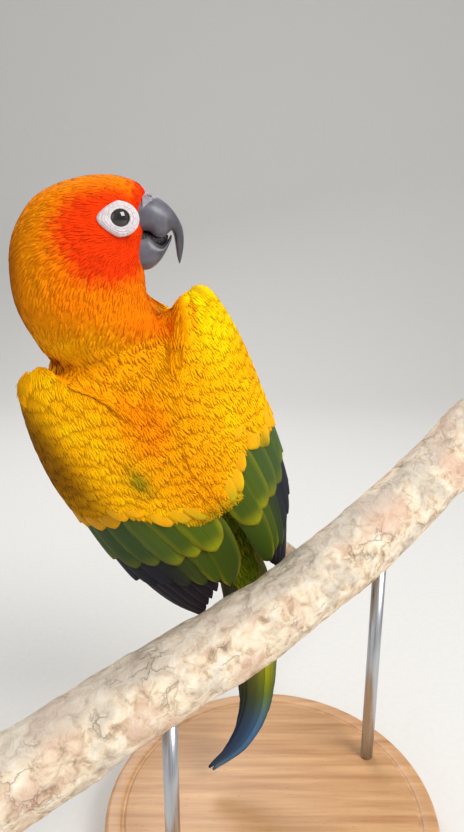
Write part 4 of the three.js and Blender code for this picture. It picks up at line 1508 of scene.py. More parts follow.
@dataclass(frozen=True)
class EyeForm:
    """Sizes of the eyes and of the bare skin round them, in millimetres."""

    ahead: float = 9.9
    up: float = 5.1
    radius: float = 3.5
    depth: float = 1.9
    facing: float = 0.6
    ring_long: float = 5.8
    ring_high: float = 4.75
    ring_back: float = 0.35
    ring_down: float = 0.25
    corner: float = 0.4
    opening: float = 2.3

    def ring_share(self, ahead: Array, up: Array) -> Array:
        """Distance from the eye as a share of the bare skin's edge."""
        x = (ahead + self.ring_back) / self.ring_long
        lean = np.clip(x / np.maximum(np.hypot(x, up / self.ring_high), 1e-6), -1, 0)
        return np.hypot(x, (up + self.ring_down) / (self.ring_high * (1 + self.corner * lean)))


EYE = EyeForm()


def bill_base(points: Array) -> Array:
    """Which places of the head's frame lie where the bill grows."""
    x, y, z = parts(points)
    upper = (y / 6.3) ** 2 + ((z - 5.9) / 5.6) ** 2 < 1
    lower = (y / 5.1) ** 2 + ((z + 4.6) / 4.8) ** 2 < 1
    return (x > 12) & (upper | lower)


def head_lie(places: Array) -> Array:
    """The way the feathers of the head and neck point."""
    points = HEAD.into(places)
    away = unit(points - np.array([19.0, 0.0, 3.0]))
    down = np.array([-0.3, 0.0, -1.0])
    low = ramp(-points[..., 2], 0, 20)[..., None]
    way = unit(away * (1 - low) + down * low)
    for side in (-1, 1):
        place = HEAD_FORM.cheek(EYE.ahead, EYE.up, EYE.facing)[0]
        centre = place * np.array([1, -side, 1]) - np.array([EYE.ring_back, 0, 0])
        toward = centre - points
        distance = np.linalg.norm(toward, axis=-1, keepdims=True)
        toward = toward / np.maximum(distance, 1e-6)
        inward = np.maximum(np.sum(way * toward, -1, keepdims=True), 0)
        near = 1 - ramp(distance, 6.5, 12)
        way = unit(way - toward * inward * near * 1.25)
    return HEAD.out_way(way)


def body_lie(places: Array) -> Array:
    """The way the feathers of the trunk point: towards the tail and a little outward."""
    points = BIRD.into(places)
    x = points[..., 0]
    ways = np.stack([0.12 * np.sign(x) * ramp(np.abs(x), 2, 16), -np.ones_like(x),
                     np.zeros_like(x)], -1)
    return BIRD.out_way(ways)


def yellow_end(share: Array, side: Side) -> Array:
    """The y at which a wing's yellow coverts end, by the share across it from its outer edge."""
    table = {Side.LEFT: ([0, 0.39, 0.53, 0.6, 0.7, 0.85, 1], [-7, -9, -1, -7, -16, -24, -22]),
             Side.RIGHT: ([0, 0.37, 0.5, 0.58, 0.66, 0.8, 1], [-11, -13, -10, 0, -9, -21, -25])}
    return np.interp(share, *table[side])


def thigh_share(places: Array) -> Array:
    """How far down a thigh each place of the model's frame lies, or 0 on the trunk and tail."""
    best = np.zeros(places.shape[:-1])
    inside = TRUNK_FORM.holds(places, 1.6)
    for side in Side:
        line = BIRD.out(thigh_line(side).at(np.linspace(0, 1, 24)))
        apart = np.linalg.norm(places[..., None, :] - line, axis=-1)
        nearest = apart.argmin(-1)
        radius = THIGH_SIZES[1] + (ANKLE - THIGH_SIZES[1]) * smooth(nearest / 23)
        close = (apart.min(-1) < radius + 2.5) & (places[..., 1] > BIRD.out(np.zeros(3))[1] + 10)
        best = np.maximum(best, np.where(close & ~inside, nearest / 23, 0))
    return best


def in_wings(places: Array, sink: float) -> Array:
    """Which places, in the model's frame, lie under the outer surface of a folded wing."""
    x, y, z = parts(BIRD.into(places))
    found = np.zeros(x.shape, bool)
    for side in Side:
        rows = WING_ROWS[side]
        outer_x, outer_z, inner_x, inner_z = parts(rows.at(y))
        across = (x - inner_x) / (outer_x - inner_x)
        height = (z - outer_z) / (inner_z - outer_z + sink)
        under = (across > 0) & (across < 1) & (height > -0.15) & (across ** 2 + height ** 2 < 1)
        found |= under & (y < rows.top) & (y > rows.bottom)
    return found


# Sub-assemblies


@dataclass
class CameraRig:
    """A close hand-held view: near the head and looking slightly down."""

    place: tuple[float, float, float] = (-17.5, -234.5, 264.0)
    down: float = 0.2756
    lens: float = 28.125
    sensor: float = 36.0

    def build(self) -> Object:
        """Makes the camera and sets it as the scene's."""
        data = bpy.data.cameras.new("camera")
        data.lens, data.sensor_width = self.lens, self.sensor
        data.clip_start, data.clip_end = 0.01, 20.0
        camera = new_object("camera", data)
        level = math.sqrt(1 - self.down ** 2)
        camera.location = Vector(self.place) * MM
        camera.rotation_euler = Vector((0, level, -self.down)).to_track_quat("-Z", "Y").to_euler()
        bpy.context.scene.camera = camera
        return camera


@dataclass
class Studio:
    """A pale paper sweep and soft lamps, with lengths in metres."""

    half: float = 2.2
    behind: float = 0.75
    bend: float = 0.5
    key_power: float = 8.4
    fill_power: float = 1.6

    def build(self, paper: Material) -> None:
        """Makes the sweep, the lamps and the pale surroundings."""
        profile = [(-self.half, 0.0), (self.behind, 0.0)]
        for step in range(1, 17):
            turn = step / 16 * math.pi / 2
            profile.append((self.behind + self.bend * math.sin(turn), self.bend * (1 - math.cos(turn))))
        profile.append((self.behind + self.bend, 2.4))
        points = np.array([[x, y, z] for y, z in profile for x in (-self.half, self.half)])
        faces = [[2 * i, 2 * i + 1, 2 * i + 3, 2 * i + 2] for i in range(len(profile) - 1)]
        sweep = add_object("studio_sweep", points / MM, faces)
        sweep.data.materials.append(paper)
        self.lamp("key", (0.55, -0.45, 0.75), 0.5, self.key_power)
        self.lamp("fill", (-0.75, -0.5, 0.45), 0.7, self.fill_power)
        self.lamp("back", (-0.2, 0.6, 0.8), 0.5, self.key_power * 0.5)
        world = bpy.data.worlds.new("pale_room")
        world.use_nodes = True
        world.node_tree.nodes["Background"].inputs["Color"].default_value = tuple(linear("#e9eaee"))
        world.node_tree.nodes["Background"].inputs["Strength"].default_value = 0.58
        bpy.context.scene.world = world
        bpy.context.scene.view_settings.view_transform = "Standard"

    @staticmethod
    def lamp(name: str, place: tuple[float, float, float], size: float, power: float) -> None:
        """Adds a square lamp that looks at the bird."""
        data = bpy.data.lights.new(name, "AREA")
        data.shape, data.size, data.energy = "SQUARE", size, power
        lamp = new_object(name, data)
        lamp.location = place
        target = Vector((0.0, 0.0, 0.16))
        lamp.rotation_euler = (target - lamp.location).to_track_quat("-Z", "Y").to_euler()


def surface_tint(places: Array, outward: Array) -> Array:
    """Plumage colours of the skin and coat anywhere on the flesh.

    Args:
        places: places in the model's frame.
        outward: which way the surface looks there, which changes nothing here.

    Returns:
        Linear colours.
    """
    head = HEAD.into(places)
    bird = BIRD.into(places)
    high = ramp(head[..., 2], -34, -24) * HEAD_FORM.holds(places, 4.0)
    return blend(body_tint(bird), head_tint(head), high)


@dataclass
class PlumageSkin:
    """One smooth skin under the feathers: head, neck, trunk, thighs, wing cores and tail root."""

    coat_depth: float = 1.1
    voxel: float = 1.25
    wing_depth: tuple[float, float] = (3.6, 11.0)
    wing_sink: float = 2.4

    def wing_core(self, side: Side) -> Shell:
        """The flesh of a folded wing, in the bird's frame."""
        form = WINGS[side]
        top = WING_ROWS[side].top - 0.8
        y = np.linspace(top, -6, 24)
        into = ramp(top - y, 0, top - 50)
        past = ramp(50 - y, 0, 24)
        thick = self.wing_depth[0] + (self.wing_depth[1] - self.wing_depth[0]) * into * (1 - past)
        share = np.linspace(0.02, 0.98, 14)
        lift = (-1.0 - (self.wing_sink - 1.0) * past)[:, None] + np.zeros(14)
        depth = lift - thick[:, None] * (0.6 + 0.4 * np.sin(share * math.pi))
        upper = form.at(y[:, None], share[None], lift)
        lower = form.at(y[:, None], share[None], depth)
        points, faces = blades(upper[None], lower[None])
        return points, faces.tolist()

    def wrist(self, side: Side) -> Shell:
        """The rounded wrist at the front edge of a folded wing, in the bird's frame."""
        spots = []
        for below, inward, z in ([2.4, 2.5, 14.5], [9, 5, 12.5], [26, 5, 9], [48, 4.5, 6]):
            y = WING_ROWS[side].top - below
            spots.append([float(WING_ROWS[side].at(y)[0]) - inward * side.value, y, z])

        def size(share: Array) -> tuple[Array, Array]:
            """Half sizes, with a rounded end."""
            end = np.sqrt(np.maximum(0.02, 1 - (1 - np.minimum(1, share / 0.14)) ** 2))
            radius = (6.2 + (2.5 - 6.2) * share) * end - 1.1
            return radius * 1.25, radius

        return loft(tube(Line(spots), np.linspace(0, 1, 22), 20, UPRIGHT, size))

    def collar(self) -> Shell:
        """The thick base of the neck, which carries the head's form into the shoulders."""
        start = HEAD.out(np.array([-2.0, 2.0, -14.0]))
        end = BIRD.out(np.array([0.0, 40.0, 1.0]))
        middle = (start + end) / 2 + np.array([0.0, 0.0, 1.0])

        def size(share: Array) -> tuple[Array, Array]:
            """Half sizes from the head down to the shoulders."""
            return 14.5 + 6.5 * smooth(share), 15.0 + 7.0 * smooth(share)

        way = BIRD.out_way(np.array([1.0, 0.0, 0.0]))
        return loft(tube(Line([start, middle, end]), np.linspace(0, 1, 24), 40, way, size))

    def saddle(self) -> Shell:
        """The flesh under the mantle, which fills the groove between the wings."""
        share, across = np.linspace(0, 1, 40), np.linspace(0.1, 0.9, 40)
        upper = MANTLE.at(share[:, None], across[None], -self.coat_depth - 0.35)
        lower = upper * np.array([1, 1, 0]) + np.array([0, 0, 14.0])
        points, faces = blades(upper[None], lower[None])
        return BIRD.out(points), faces.tolist()

    def build(self, finish: Material) -> Object:
        """Joins the forms, blends them into one surface and paints it."""
        inner = -self.coat_depth
        turn = turns(48)
        shells: list[Shell] = []
        z = np.concatenate([[18.5, 18.2, 17.7, 17, 16], np.linspace(15, -37, 40)])
        low = np.array([0, 0, 1]) * self.coat_depth * ramp(z, 8, 18)[:, None, None]
        shells.append(loft(HEAD.out(HEAD_FORM.at(z[:, None], turn[None], inner) - low)))
        y = np.linspace(61, -51, 50)
        shrink = inner - 7.0 * ramp(y, 46, 61)[:, None]
        shells.append(loft(BIRD.out(TRUNK_FORM.at(y[:, None], turn[None], shrink))))
        share = np.linspace(0, 1, 24)
        for side in Side:
            shells.append(loft(thigh_at(side, share[:, None], turn[None], inner * 0.9)))
            for points, faces in (self.wing_core(side), self.wrist(side)):
                shells.append((BIRD.out(points), faces))
        shells.append(loft(tail_root(share[:, None], turn[None], -0.7)))
        shells.append(self.saddle())
        shells.append(self.collar())
        knob = Line([(27.4, 57.6, 16.3), (26.2, 55, 18.8), (24.2, 51, 21.6), (21, 45, 24)])
        shells.append(loft(BIRD.out(tube(knob, np.linspace(0, 1, 20), 24, UPRIGHT, lambda share: (
            2.9 * np.sqrt(np.clip(1 - (1 - np.minimum(1, share / 0.2)) ** 2, 0.02, 1)),) * 2))))
        skin = add_object("plumage_skin", *join(shells))
        bpy.context.view_layer.objects.active = skin
        modifier = skin.modifiers.new("blend", "REMESH")
        modifier.mode, modifier.voxel_size = "VOXEL", self.voxel * MM
        modifier.use_smooth_shade = True
        relax = skin.modifiers.new("relax", "SMOOTH")
        relax.factor, relax.iterations = 0.5, 12
        mesh = evaluated_mesh(skin)
        skin.modifiers.clear()
        skin.data = mesh
        mesh.name = "plumage_skin"
        self.paint(skin)
        dress(skin, finish, "body_plumage", "torso", "neck", "head", "thigh_left", "thigh_right")
        return skin

    @staticmethod
    def paint(skin: Object) -> None:
        """Gives the skin the markings that the coat has."""
        places = places_of(skin)
        colour = surface_tint(places, places * 0)
        bird = BIRD.into(places)
        for side in Side:
            rows = WING_ROWS[side]
            outer_x, _, inner_x, _ = parts(rows.at(bird[:, 1]))
            along = (bird[:, 0] - inner_x) / (outer_x - inner_x)
            on_wing = ramp(along, 0.02, 0.12) * (bird[:, 1] < rows.top) * (bird[:, 2] > 2)
            wing = blend(wing_tint(bird, side), Tint.GREEN, ramp(-bird[:, 1], 10, 26))
            wing = blend(wing, Tint.INK, ramp(-bird[:, 1], 24, 40))
            colour = blend(colour, wing, on_wing)
        tail = ramp(160 - places[:, 2], 0, 14) * ramp(-bird[:, 1], 36, 48)
        colour = blend(colour, Tint.LEAF, tail)
        tinted(skin, colour)


@dataclass
class SmallFeathers:
    """The coats of small feathers over head, neck, trunk, thighs, shoulders and tail root."""

    def coats(self, skin: Ground) -> list[Coat]:
        """Describes each coat."""

        def round_head(places: Array) -> Array:
            """The bake map's spots round the head."""
            x, y, z = parts(HEAD.into(places))
            return np.stack([np.arctan2(y - 1, x + 2) / (2 * math.pi) + 0.5, (z + 50) / 70], -1)

        def round_trunk(places: Array) -> Array:
            """The bake map's spots round the trunk."""
            x, y, z = parts(BIRD.into(places))
            return np.stack([np.arctan2(z, x) / (2 * math.pi) + 0.5, (y + 60) / 130], -1)

        def headward(places: Array) -> Array:
            """1 on the head and neck and 0 on the trunk."""
            points = HEAD.into(places)
            bird = BIRD.into(places)
            rank = points[..., 2] + 0.35 * (bird[..., 1] - 62)
            return ramp(rank, -38, -24) * HEAD_FORM.holds(places, 7.0)

        def lie(places: Array) -> Array:
            """The way that the feathers point."""
            part = headward(places)[..., None]
            return unit(head_lie(places) * part + body_lie(places) * (1 - part))

        def head_gap(places: Array) -> Array:
            """The space between feathers, least round the bill."""
            points = HEAD.into(places)
            near = 1 - ramp(np.hypot(points[..., 0] - 13, points[..., 2] - 2), 6, 26)
            return 0.62 - 0.17 * near

        def on_head(places: Array, front: bool) -> Array:
            """Whether places lie on the front or back of the head."""
            points = HEAD.into(places)
            wanted = (~bill_base(points)) & (ring_share(points) > 1.03)
            return (wanted & ((points[..., 0] > 2) == front) & (points[..., 2] > -21)
                    & (headward(places) > 0.5))

        def on_neck(places: Array) -> Array:
            """Whether places lie on the neck."""
            return (headward(places) > 0.5) & (HEAD.into(places)[..., 2] <= -21)

        def legward(places: Array) -> Array:
            """Whether places lie on a thigh."""
            return thigh_share(places) > 0

        def on_trunk(places: Array) -> Array:
            """Whether places lie on the trunk, clear of wings, thighs and tail."""
            y = BIRD.into(places)[..., 1]
            return ((headward(places) <= 0.5) & ~in_wings(places, -1.6) & (y > -51) & ~legward(places))

        def on_back(places: Array) -> Array:
            """Whether places lie on the back, clear of the mantle."""
            points = BIRD.into(places)
            gap = places - over_back.nearest(places)
            bare = (np.linalg.norm(gap, axis=-1) > 1.6) | (BIRD.into(gap + BIRD.origin)[:, 2] > 0.3)
            return on_trunk(places) & (points[..., 2] > 12) & (points[..., 1] > -26) & bare

        def on_belly(places: Array) -> Array:
            """Whether places lie on the trunk but not on its back."""
            points = BIRD.into(places)
            return on_trunk(places) & ~((points[..., 2] > 12) & (points[..., 1] > -26))

        def on_tail(places: Array) -> Array:
            """Whether places lie on the tail's root."""
            return (BIRD.into(places)[..., 1] <= -47) & ~in_wings(places, -0.8)

        def tail_tint(places: Array, facing: Array) -> Array:
            """Green on top and olive below."""
            over = TAIL_LINE.frames(np.array([0.15]), TAIL_ACROSS)[3][0]
            return covert_tint(places, ramp(facing @ over, -0.2, 0.4))

        def back_tint(places: Array, facing: Array) -> Array:
            """The trunk's colours, which turn into the wings' at the sides."""
            points = BIRD.into(places)
            colour = surface_tint(places, facing)
            for side in Side:
                way = ramp(points[..., 0] * side.value, 2, 18) * ramp(56 - points[..., 1], 0, 14)
                colour = blend(colour, wing_tint(points, side), way * 0.85)
            return colour

        def every(gap: float) -> Field:
            """The same space between all feathers."""
            return lambda places: np.full(len(places), gap)

        tail_way = unit(TAIL_LINE.at(np.array([0.3])) - TAIL_LINE.at(np.array([0.0])))[0]
        over_back = Ground.of_form(
            lambda share, across: BIRD.out(MANTLE.at(share, across, -1.1)), 90, 70)

        coats = [
            Coat(f"head_coat_{name}", "head_plumage", ("head",), skin, head_gap, lie, surface_tint,
                 lambda places, front=front: on_head(places, front), round_head, feather=2.0,
                 closest=0.47)
            for name, front in (("front", True), ("back", False))]
        coats += [
            Coat("neck_coat", "neck_plumage", ("neck",), skin, every(0.72), lie, surface_tint,
                 on_neck, round_head, feather=2.8, closest=0.7),
            Coat("belly_coat", "body_plumage", ("torso",), skin, every(1.15), lie, surface_tint,
                 on_belly, round_trunk, feather=3.6, closest=1.1),
            Coat("back_coat", "body_plumage", ("torso",), skin, every(0.72), lie, back_tint,
                 on_back, round_trunk, feather=4.0, half_width=0.14, closest=0.7),
            Coat("mantle_coat", "body_plumage", ("torso", "wing_left", "wing_right"), over_back,
                 every(0.6), body_lie, back_tint,
                 lambda places: ~HEAD_FORM.holds(places, -1.5), round_trunk, feather=4.6,
                 half_width=0.14, closest=0.58, step=0.045),
            Coat("tail_coverts", "tail_plumage", ("tail",), skin, every(1.1),
                 lambda places: np.broadcast_to(tail_way, places.shape), tail_tint, on_tail,
                 round_trunk, feather=4.0, closest=1.05),
        ]
        for side in Side:
            name = side.name.lower()
            start, end = thigh_line(side).at(np.array([0.0, 1.0]))
            way = BIRD.out_way(unit(end - start))
            coats.append(Coat(
                f"thigh_coat_{name}", "body_plumage", (f"thigh_{name}",), skin, every(0.85),
                lambda places, way=way: np.broadcast_to(way, places.shape), surface_tint,
                lambda places, side=side: legward(places) & (
                    BIRD.into(places)[..., 0] * side.value > 0), round_trunk,
                feather=2.6, closest=0.8))
            coats.append(self.wing_coat(side, round_trunk))
        return coats

    @staticmethod
    def wing_coat(side: Side, unwrap: Field) -> Coat:
        """The small coverts over the shoulder and the front half of a folded wing."""
        top = WING_ROWS[side].top - 0.6

        def form(share: Array, across: Array) -> Array:
            """Places just under the coverts, in the model's frame."""
            y = top + (-24 - top) * share
            return BIRD.out(WINGS[side].at(y, across * 1.04 - 0.04, -0.7 - 0.3 * ramp(-y, -20, 20)))

        def spacing(places: Array) -> Array:
            """The space between feathers, least at the wrist."""
            return 0.52 + 0.12 * ramp(top - BIRD.into(places)[..., 1], 2, 44)

        def keep(places: Array) -> Array:
            """Whether places lie above the ragged edge of the yellow."""
            x, y, z = parts(BIRD.into(places))
            ragged = 3 * speckle(np.stack([x, y * 0.3, z], -1), 7, 21)
            outer_x, _, inner_x, _ = parts(WING_ROWS[side].at(y))
            cos = np.clip((x - inner_x) / (outer_x - inner_x), 0, 1)
            return y > yellow_end(np.arccos(cos) / math.pi * 2, side) + 7 + ragged

        return Coat(f"shoulder_coat_{side.name.lower()}", "wing_plumage",
                    (f"wing_{side.name.lower()}",), Ground.of_form(form, 90, 50), spacing,
                    body_lie, lambda places, facing: wing_tint(BIRD.into(places), side), keep,
                    unwrap, feather=3.8, half_width=0.14, closest=0.5, step=0.045)

    def build(self, skin: Object, finish: Material) -> None:
        """Grows every coat on the skin."""
        tree = scatter_tree()
        feather = Tuft().make("tuft_pattern")
        for coat in self.coats(Ground.of_mesh(skin)):
            coat.build(tree, feather, finish)
        bpy.data.objects.remove(feather)
        bpy.data.node_groups.remove(tree)


POINTED = np.array([[0, 0.55], [0.15, 0.8], [0.3, 0.95], [0.5, 1.0], [0.7, 0.96], [0.84, 0.8],
                    [0.93, 0.55], [0.98, 0.3], [1, 0.12]])
ROUNDED = np.array([[0, 0.55], [0.2, 0.82], [0.45, 1.0], [0.7, 0.98], [0.86, 0.84], [0.94, 0.62],
                    [0.98, 0.4], [1, 0.2]])


@dataclass(frozen=True)
class Tier:
    """One row of wing feathers; pairs are values at the outer and the inner end of the row."""

    name: str
    count: int
    outline: Any
    half: tuple[float, float]
    root_y: tuple[float, float]
    root_t: tuple[float, float]
    root_lift: float
    tip_y: tuple[float, float]
    tip_t: tuple[float, float]
    tip_lift: float
    stations: int = 12
    width: int = 7
    thick: float = 0.5
    uneven: float = 1.6


@dataclass
class WingPlumage:
    """All feathers of one folded wing, laid over its surface in overlapping rows."""

    side: Side
    camber: float = 0.62
    tiers: tuple[Tier, ...] = (
        Tier("primary", 8, POINTED, (4.4, 4.8), (0, -3), (0.07, 0.55), -4.2, (-88, -66),
             (0.16, 0.78), -2.0, stations=22, width=11),
        Tier("secondary", 7, ROUNDED, (5.4, 7.2), (4, 6), (0.1, 0.86), -4.0, (-46, -68),
             (0.1, 0.88), -0.8, stations=20, width=11),
        Tier("greater_covert", 6, ROUNDED, (5.8, 7.4), (14, 10), (0.09, 0.84), -3.4, (-30, -43),
             (0.1, 0.84), -0.6, stations=18, width=11, uneven=2.4),
        Tier("median_covert", 9, ROUNDED, (4.8, 5.4), (30, 24), (0.06, 0.9), -3.0, (0, 0),
             (0.06, 0.92), -0.5, stations=16, width=11, uneven=1.2),
    )

    def tint(self, tier: str, t: Array, along: Array, across: Array, place: Array,
             luck: Array) -> Array:
        """Colours of a row of feathers.

        Args:
            tier: the row's name.
            t: each point's place across the wing, 0 at its outer edge.
            along: 0 at the feather's root and 1 at its tip.
            across: -1 on the outer edge of the feather and 1 on the inner one.
            place: each point in the bird's frame.
            luck: one random value from 0 to 1 for each point's feather.

        Returns:
            Linear colours.
        """
        y = place[..., 1]
        edge = ramp(np.abs(across), 0.55, 1.0)
        tip = ramp(along, 0.82, 1.0)
        if tier == "primary":
            colour = blend(Tint.INK, Tint.TEAL, ramp(-across, 0.5, 1.0) * 0.5)
            return blend(colour, Tint.DUSK, ramp(across, 0.4, 1) * 0.6)
        inner = ramp(t, 0.35, 0.8)
        if tier == "secondary":
            base = blend(Tint.INK, Tint.TEAL, 0.15)
            base = blend(base, Tint.GREEN, inner)
            base = blend(base, Tint.LEAF, inner * luck * 0.5 * ramp(-across, -0.6, 0.6))
            base = blend(base, Tint.LIME, edge * inner * (0.25 + 0.55 * tip))
            return blend(base, Tint.INK, ramp(across, 0.1, 0.9) * 0.5 * (1 - 0.7 * inner))
        if tier == "greater_covert":
            base = blend(Tint.GREEN, Tint.LEAF, luck * (0.3 + 0.7 * inner))
            base = blend(base, Tint.TEAL, (1 - inner) * 0.2)
            rim = np.maximum(edge * 0.5, tip * 0.75) * (0.25 + 0.75 * inner)
            base = blend(base, Tint.LIME, rim)
            return blend(base, Tint.OCHRE, edge * tip * inner * 0.6)
        base = wing_tint(place, self.side)
        base = blend(base, Tint.BRIGHT, edge * 0.3)
        return blend(base, Tint.LIME, ramp(-y, 8, 26) * ramp(luck, 0.2, 0.9) * 0.6)

    def lay(self, tier: Tier, root: Array, tip: Array, half: Array,
            cell: tuple[int, int]) -> tuple[Shell, Array, Array, Array]:
        """Shapes the feathers of one row.

        Args:
            tier: the row.
            root: y and t of each feather's root.
            tip: y and t of each feather's tip.
            half: half the width of each feather.
            cell: the row's number and how many rows the bake map has.

        Returns:
            The mesh, tints, vane marks and bake spots.
        """
        source = np.random.default_rng(SEED + cell[0] * 7 + self.side.value)
        count = len(root)
        form = WINGS[self.side]
        along = np.linspace(0, 1, tier.stations)
        along = along + 0.16 * np.sin(along * math.pi) * along
        breadth = np.interp(along, tier.outline[:, 0], tier.outline[:, 1])
        across = np.linspace(-1, 1, tier.width)
        y = root[:, 0][:, None] + (tip[:, 0] - root[:, 0])[:, None] * along
        t = root[:, 1][:, None] + (tip[:, 1] - root[:, 1])[:, None] * along
        lift = (tier.root_lift + (tier.tip_lift - tier.root_lift) * along[None]
                + source.normal(0, 0.06, (count, 1)))
        wide = half[:, None] * breadth / form.girth(y)
        ragged = 1 + source.normal(0, 0.022, (count, tier.stations, tier.width)) * np.abs(across)
        place = np.clip(t[..., None] + wide[..., None] * across * ragged, -0.06, 1.02)
        thick = (tier.thick - 0.16 * along ** 2)[None, :, None]
        lean = -self.camber * across - 0.55 * np.abs(across) ** 2
        top, under = (form.at(y[..., None] - 0 * across, place, lift[..., None] + lean - depth)
                      for depth in (0, thick))
        points, faces = blades(top, under)
        shape = (count, tier.stations, 2 * tier.width)
        rings_across = np.broadcast_to(np.concatenate([across, across[::-1]]), shape)
        rings_along = np.broadcast_to(along[None, :, None], shape)
        ring_t = np.concatenate([place, place[..., ::-1]], -1)
        luck = np.broadcast_to(source.random(count)[:, None, None], shape)
        colours = self.tint(tier.name, ring_t, rings_along, rings_across,
                            points.reshape(*shape, 3), luck)
        colours = colours * (1 + source.normal(0, 0.05, (count, 1, 1, 1)))
        length = np.abs(tip[:, 0] - root[:, 0])[:, None, None]
        vane = np.stack([rings_across * half[:, None, None], rings_along * length, luck * 40], -1)
        columns = (np.arange(count) + 0.5) / count
        row = (cell[0] + 0.5) / cell[1]
        bake = np.stack([columns[:, None, None] + rings_across * 0.4 / count,
                         row + (rings_along - 0.5) * 0.8 / cell[1]], -1)
        bake[..., tier.width:, 0] -= 0.02 / count
        return ((points, faces.tolist()), colours.reshape(-1, 4), vane.reshape(-1, 3),
                bake.reshape(-1, 2))

    def rows(self) -> list[tuple[Tier, Array, Array, Array]]:
        """Where each row's feathers start and end."""
        rows_of = WING_ROWS[self.side]
        source = np.random.default_rng(SEED + 2 + self.side.value)
        found = []
        for tier in self.tiers:
            share = np.linspace(0, 1, tier.count)
            reach = rows_of.bottom / tier.tip_y[0] if tier.name == "primary" else 1.0

            def pair(values: tuple[float, float]) -> Array:
                """Values from the first feather to the last."""
                return values[0] + (values[1] - values[0]) * share

            root = np.stack([pair(tier.root_y), pair(tier.root_t)], -1)
            tip = np.stack([pair(tier.tip_y) * reach, pair(tier.tip_t)], -1)
            if tier.name == "median_covert":
                tip[:, 0] = yellow_end(tip[:, 1], self.side)
            if tier.name != "primary":
                tip[1:-1, 0] += source.normal(0, tier.uneven, tier.count - 2)
            found.append((tier, root, tip, pair(tier.half)))
        return found

    def build(self, finish: Material) -> Object:
        """Makes the wing's feathers as one piece."""
        rows = self.rows()
        shells, colours, vanes, bakes = zip(*(
            self.lay(*row, (number, len(rows))) for number, row in enumerate(rows)))
        points, faces = join(shells)
        name = self.side.name.lower()
        wing = add_object(f"wing_feathers_{name}", BIRD.out(points), faces)
        tinted(wing, np.vstack(colours))
        set_attribute(wing, "vane", "FLOAT_VECTOR", np.vstack(vanes))
        set_bake_map(wing, np.vstack(bakes))
        dress(wing, finish, "wing_plumage", f"wing_{name}")
        return wing


@dataclass
class TailPlumage:
    """Six pairs of tail feathers, the middle pair on top and longest."""

    lengths: tuple[float, ...] = (1.0, 0.93, 0.84, 0.74, 0.64, 0.54)
    half: float = 4.7
    root: float = 0.16
    spread: float = 1.35
    first: float = 1.7
    stack: float = 0.8
    stations: int = 26
    width: int = 9

    def tint(self, share: Array, across: Array, pair: int) -> Array:
        """Colours by the share along the tail, the place across a feather and its pair."""
        colour = blend(Tint.LIME, Tint.LEAF, ramp(share, 0.56, 0.7))
        colour = blend(colour, Tint.BLUE, ramp(share, 0.66, 0.82) * 0.9)
        colour = blend(colour, Tint.SLATE, ramp(share, 0.9, 0.99) * 0.7)
        colour = blend(colour, Tint.INK, ramp(np.abs(across), 0.6, 1.0) * 0.35)
        return blend(colour, Tint.TEAL, ramp(pair, 0.5, 3) * 0.5)

    def build(self, finish: Material) -> Object:
        """Makes the tail feathers as one piece."""
        source = np.random.default_rng(SEED + 5)
        along = np.linspace(0, 1, self.stations)
        along = along + 0.12 * np.sin(along * math.pi) * along
        breadth = np.interp(along, POINTED[:, 0], POINTED[:, 1])
        across = np.linspace(-1, 1, self.width)
        spread = np.broadcast_to(np.concatenate([across, across[::-1]]),
                                 (self.stations, 2 * self.width))
        found = []
        for pair, length in enumerate(self.lengths):
            for sign in (-1, 1):
                share = self.root + (length - self.root) * along
                place, _, side, over = TAIL_LINE.frames(share, TAIL_ACROSS)
                out = sign * (self.first + self.spread * pair) * (0.75 + 0.25 * along)
                down = self.stack * pair + 0.2 * sign
                thick = 0.55 - 0.2 * along ** 2
                wave = source.normal(0, 0.012, (self.stations, self.width)) * np.abs(across)
                x = out[:, None] + self.half * breadth[:, None] * across * (1 + wave)
                bend = 0.5 * across ** 2
                top = (place[:, None] + side[:, None] * x[..., None]
                       + over[:, None] * (down + bend)[None, :, None])
                under = top + over[:, None] * thick[:, None, None]
                shares = np.broadcast_to(share[:, None], spread.shape)
                shade = self.tint(shares, spread, pair)
                # Painted shade: the feathers on the tail's negative side are darkened towards ink, most
                # at their outer edges.
                shaded_half = 0.75 if sign < 0 else 0.0
                shade = blend(shade, Tint.INK, shaded_half * (0.5 + 0.5 * ramp(spread * sign, -1, 0.5)))
                shade = shade * (1 + source.normal(0, 0.05))
                mark = np.stack([spread * self.half, shares * TAIL_LINE.length,
                                 np.full(spread.shape, source.random() * 40)], -1)
                bake = np.stack([(len(found) + 0.5 + spread * 0.42) / 12, 0.02 + 0.96
                                 * np.broadcast_to(along[:, None], spread.shape)], -1)
                found.append((top, under, shade, mark, bake))
        tops, unders, shades, marks, bakes = (np.array(kind) for kind in zip(*found))
        tail = add_object("tail_feathers", *blades(tops, unders))
        tinted(tail, shades.reshape(-1, 4))
        set_attribute(tail, "vane", "FLOAT_VECTOR", marks.reshape(-1, 3))
        set_bake_map(tail, bakes.reshape(-1, 2))
        dress(tail, finish, "tail_plumage", "tail")
        return tail


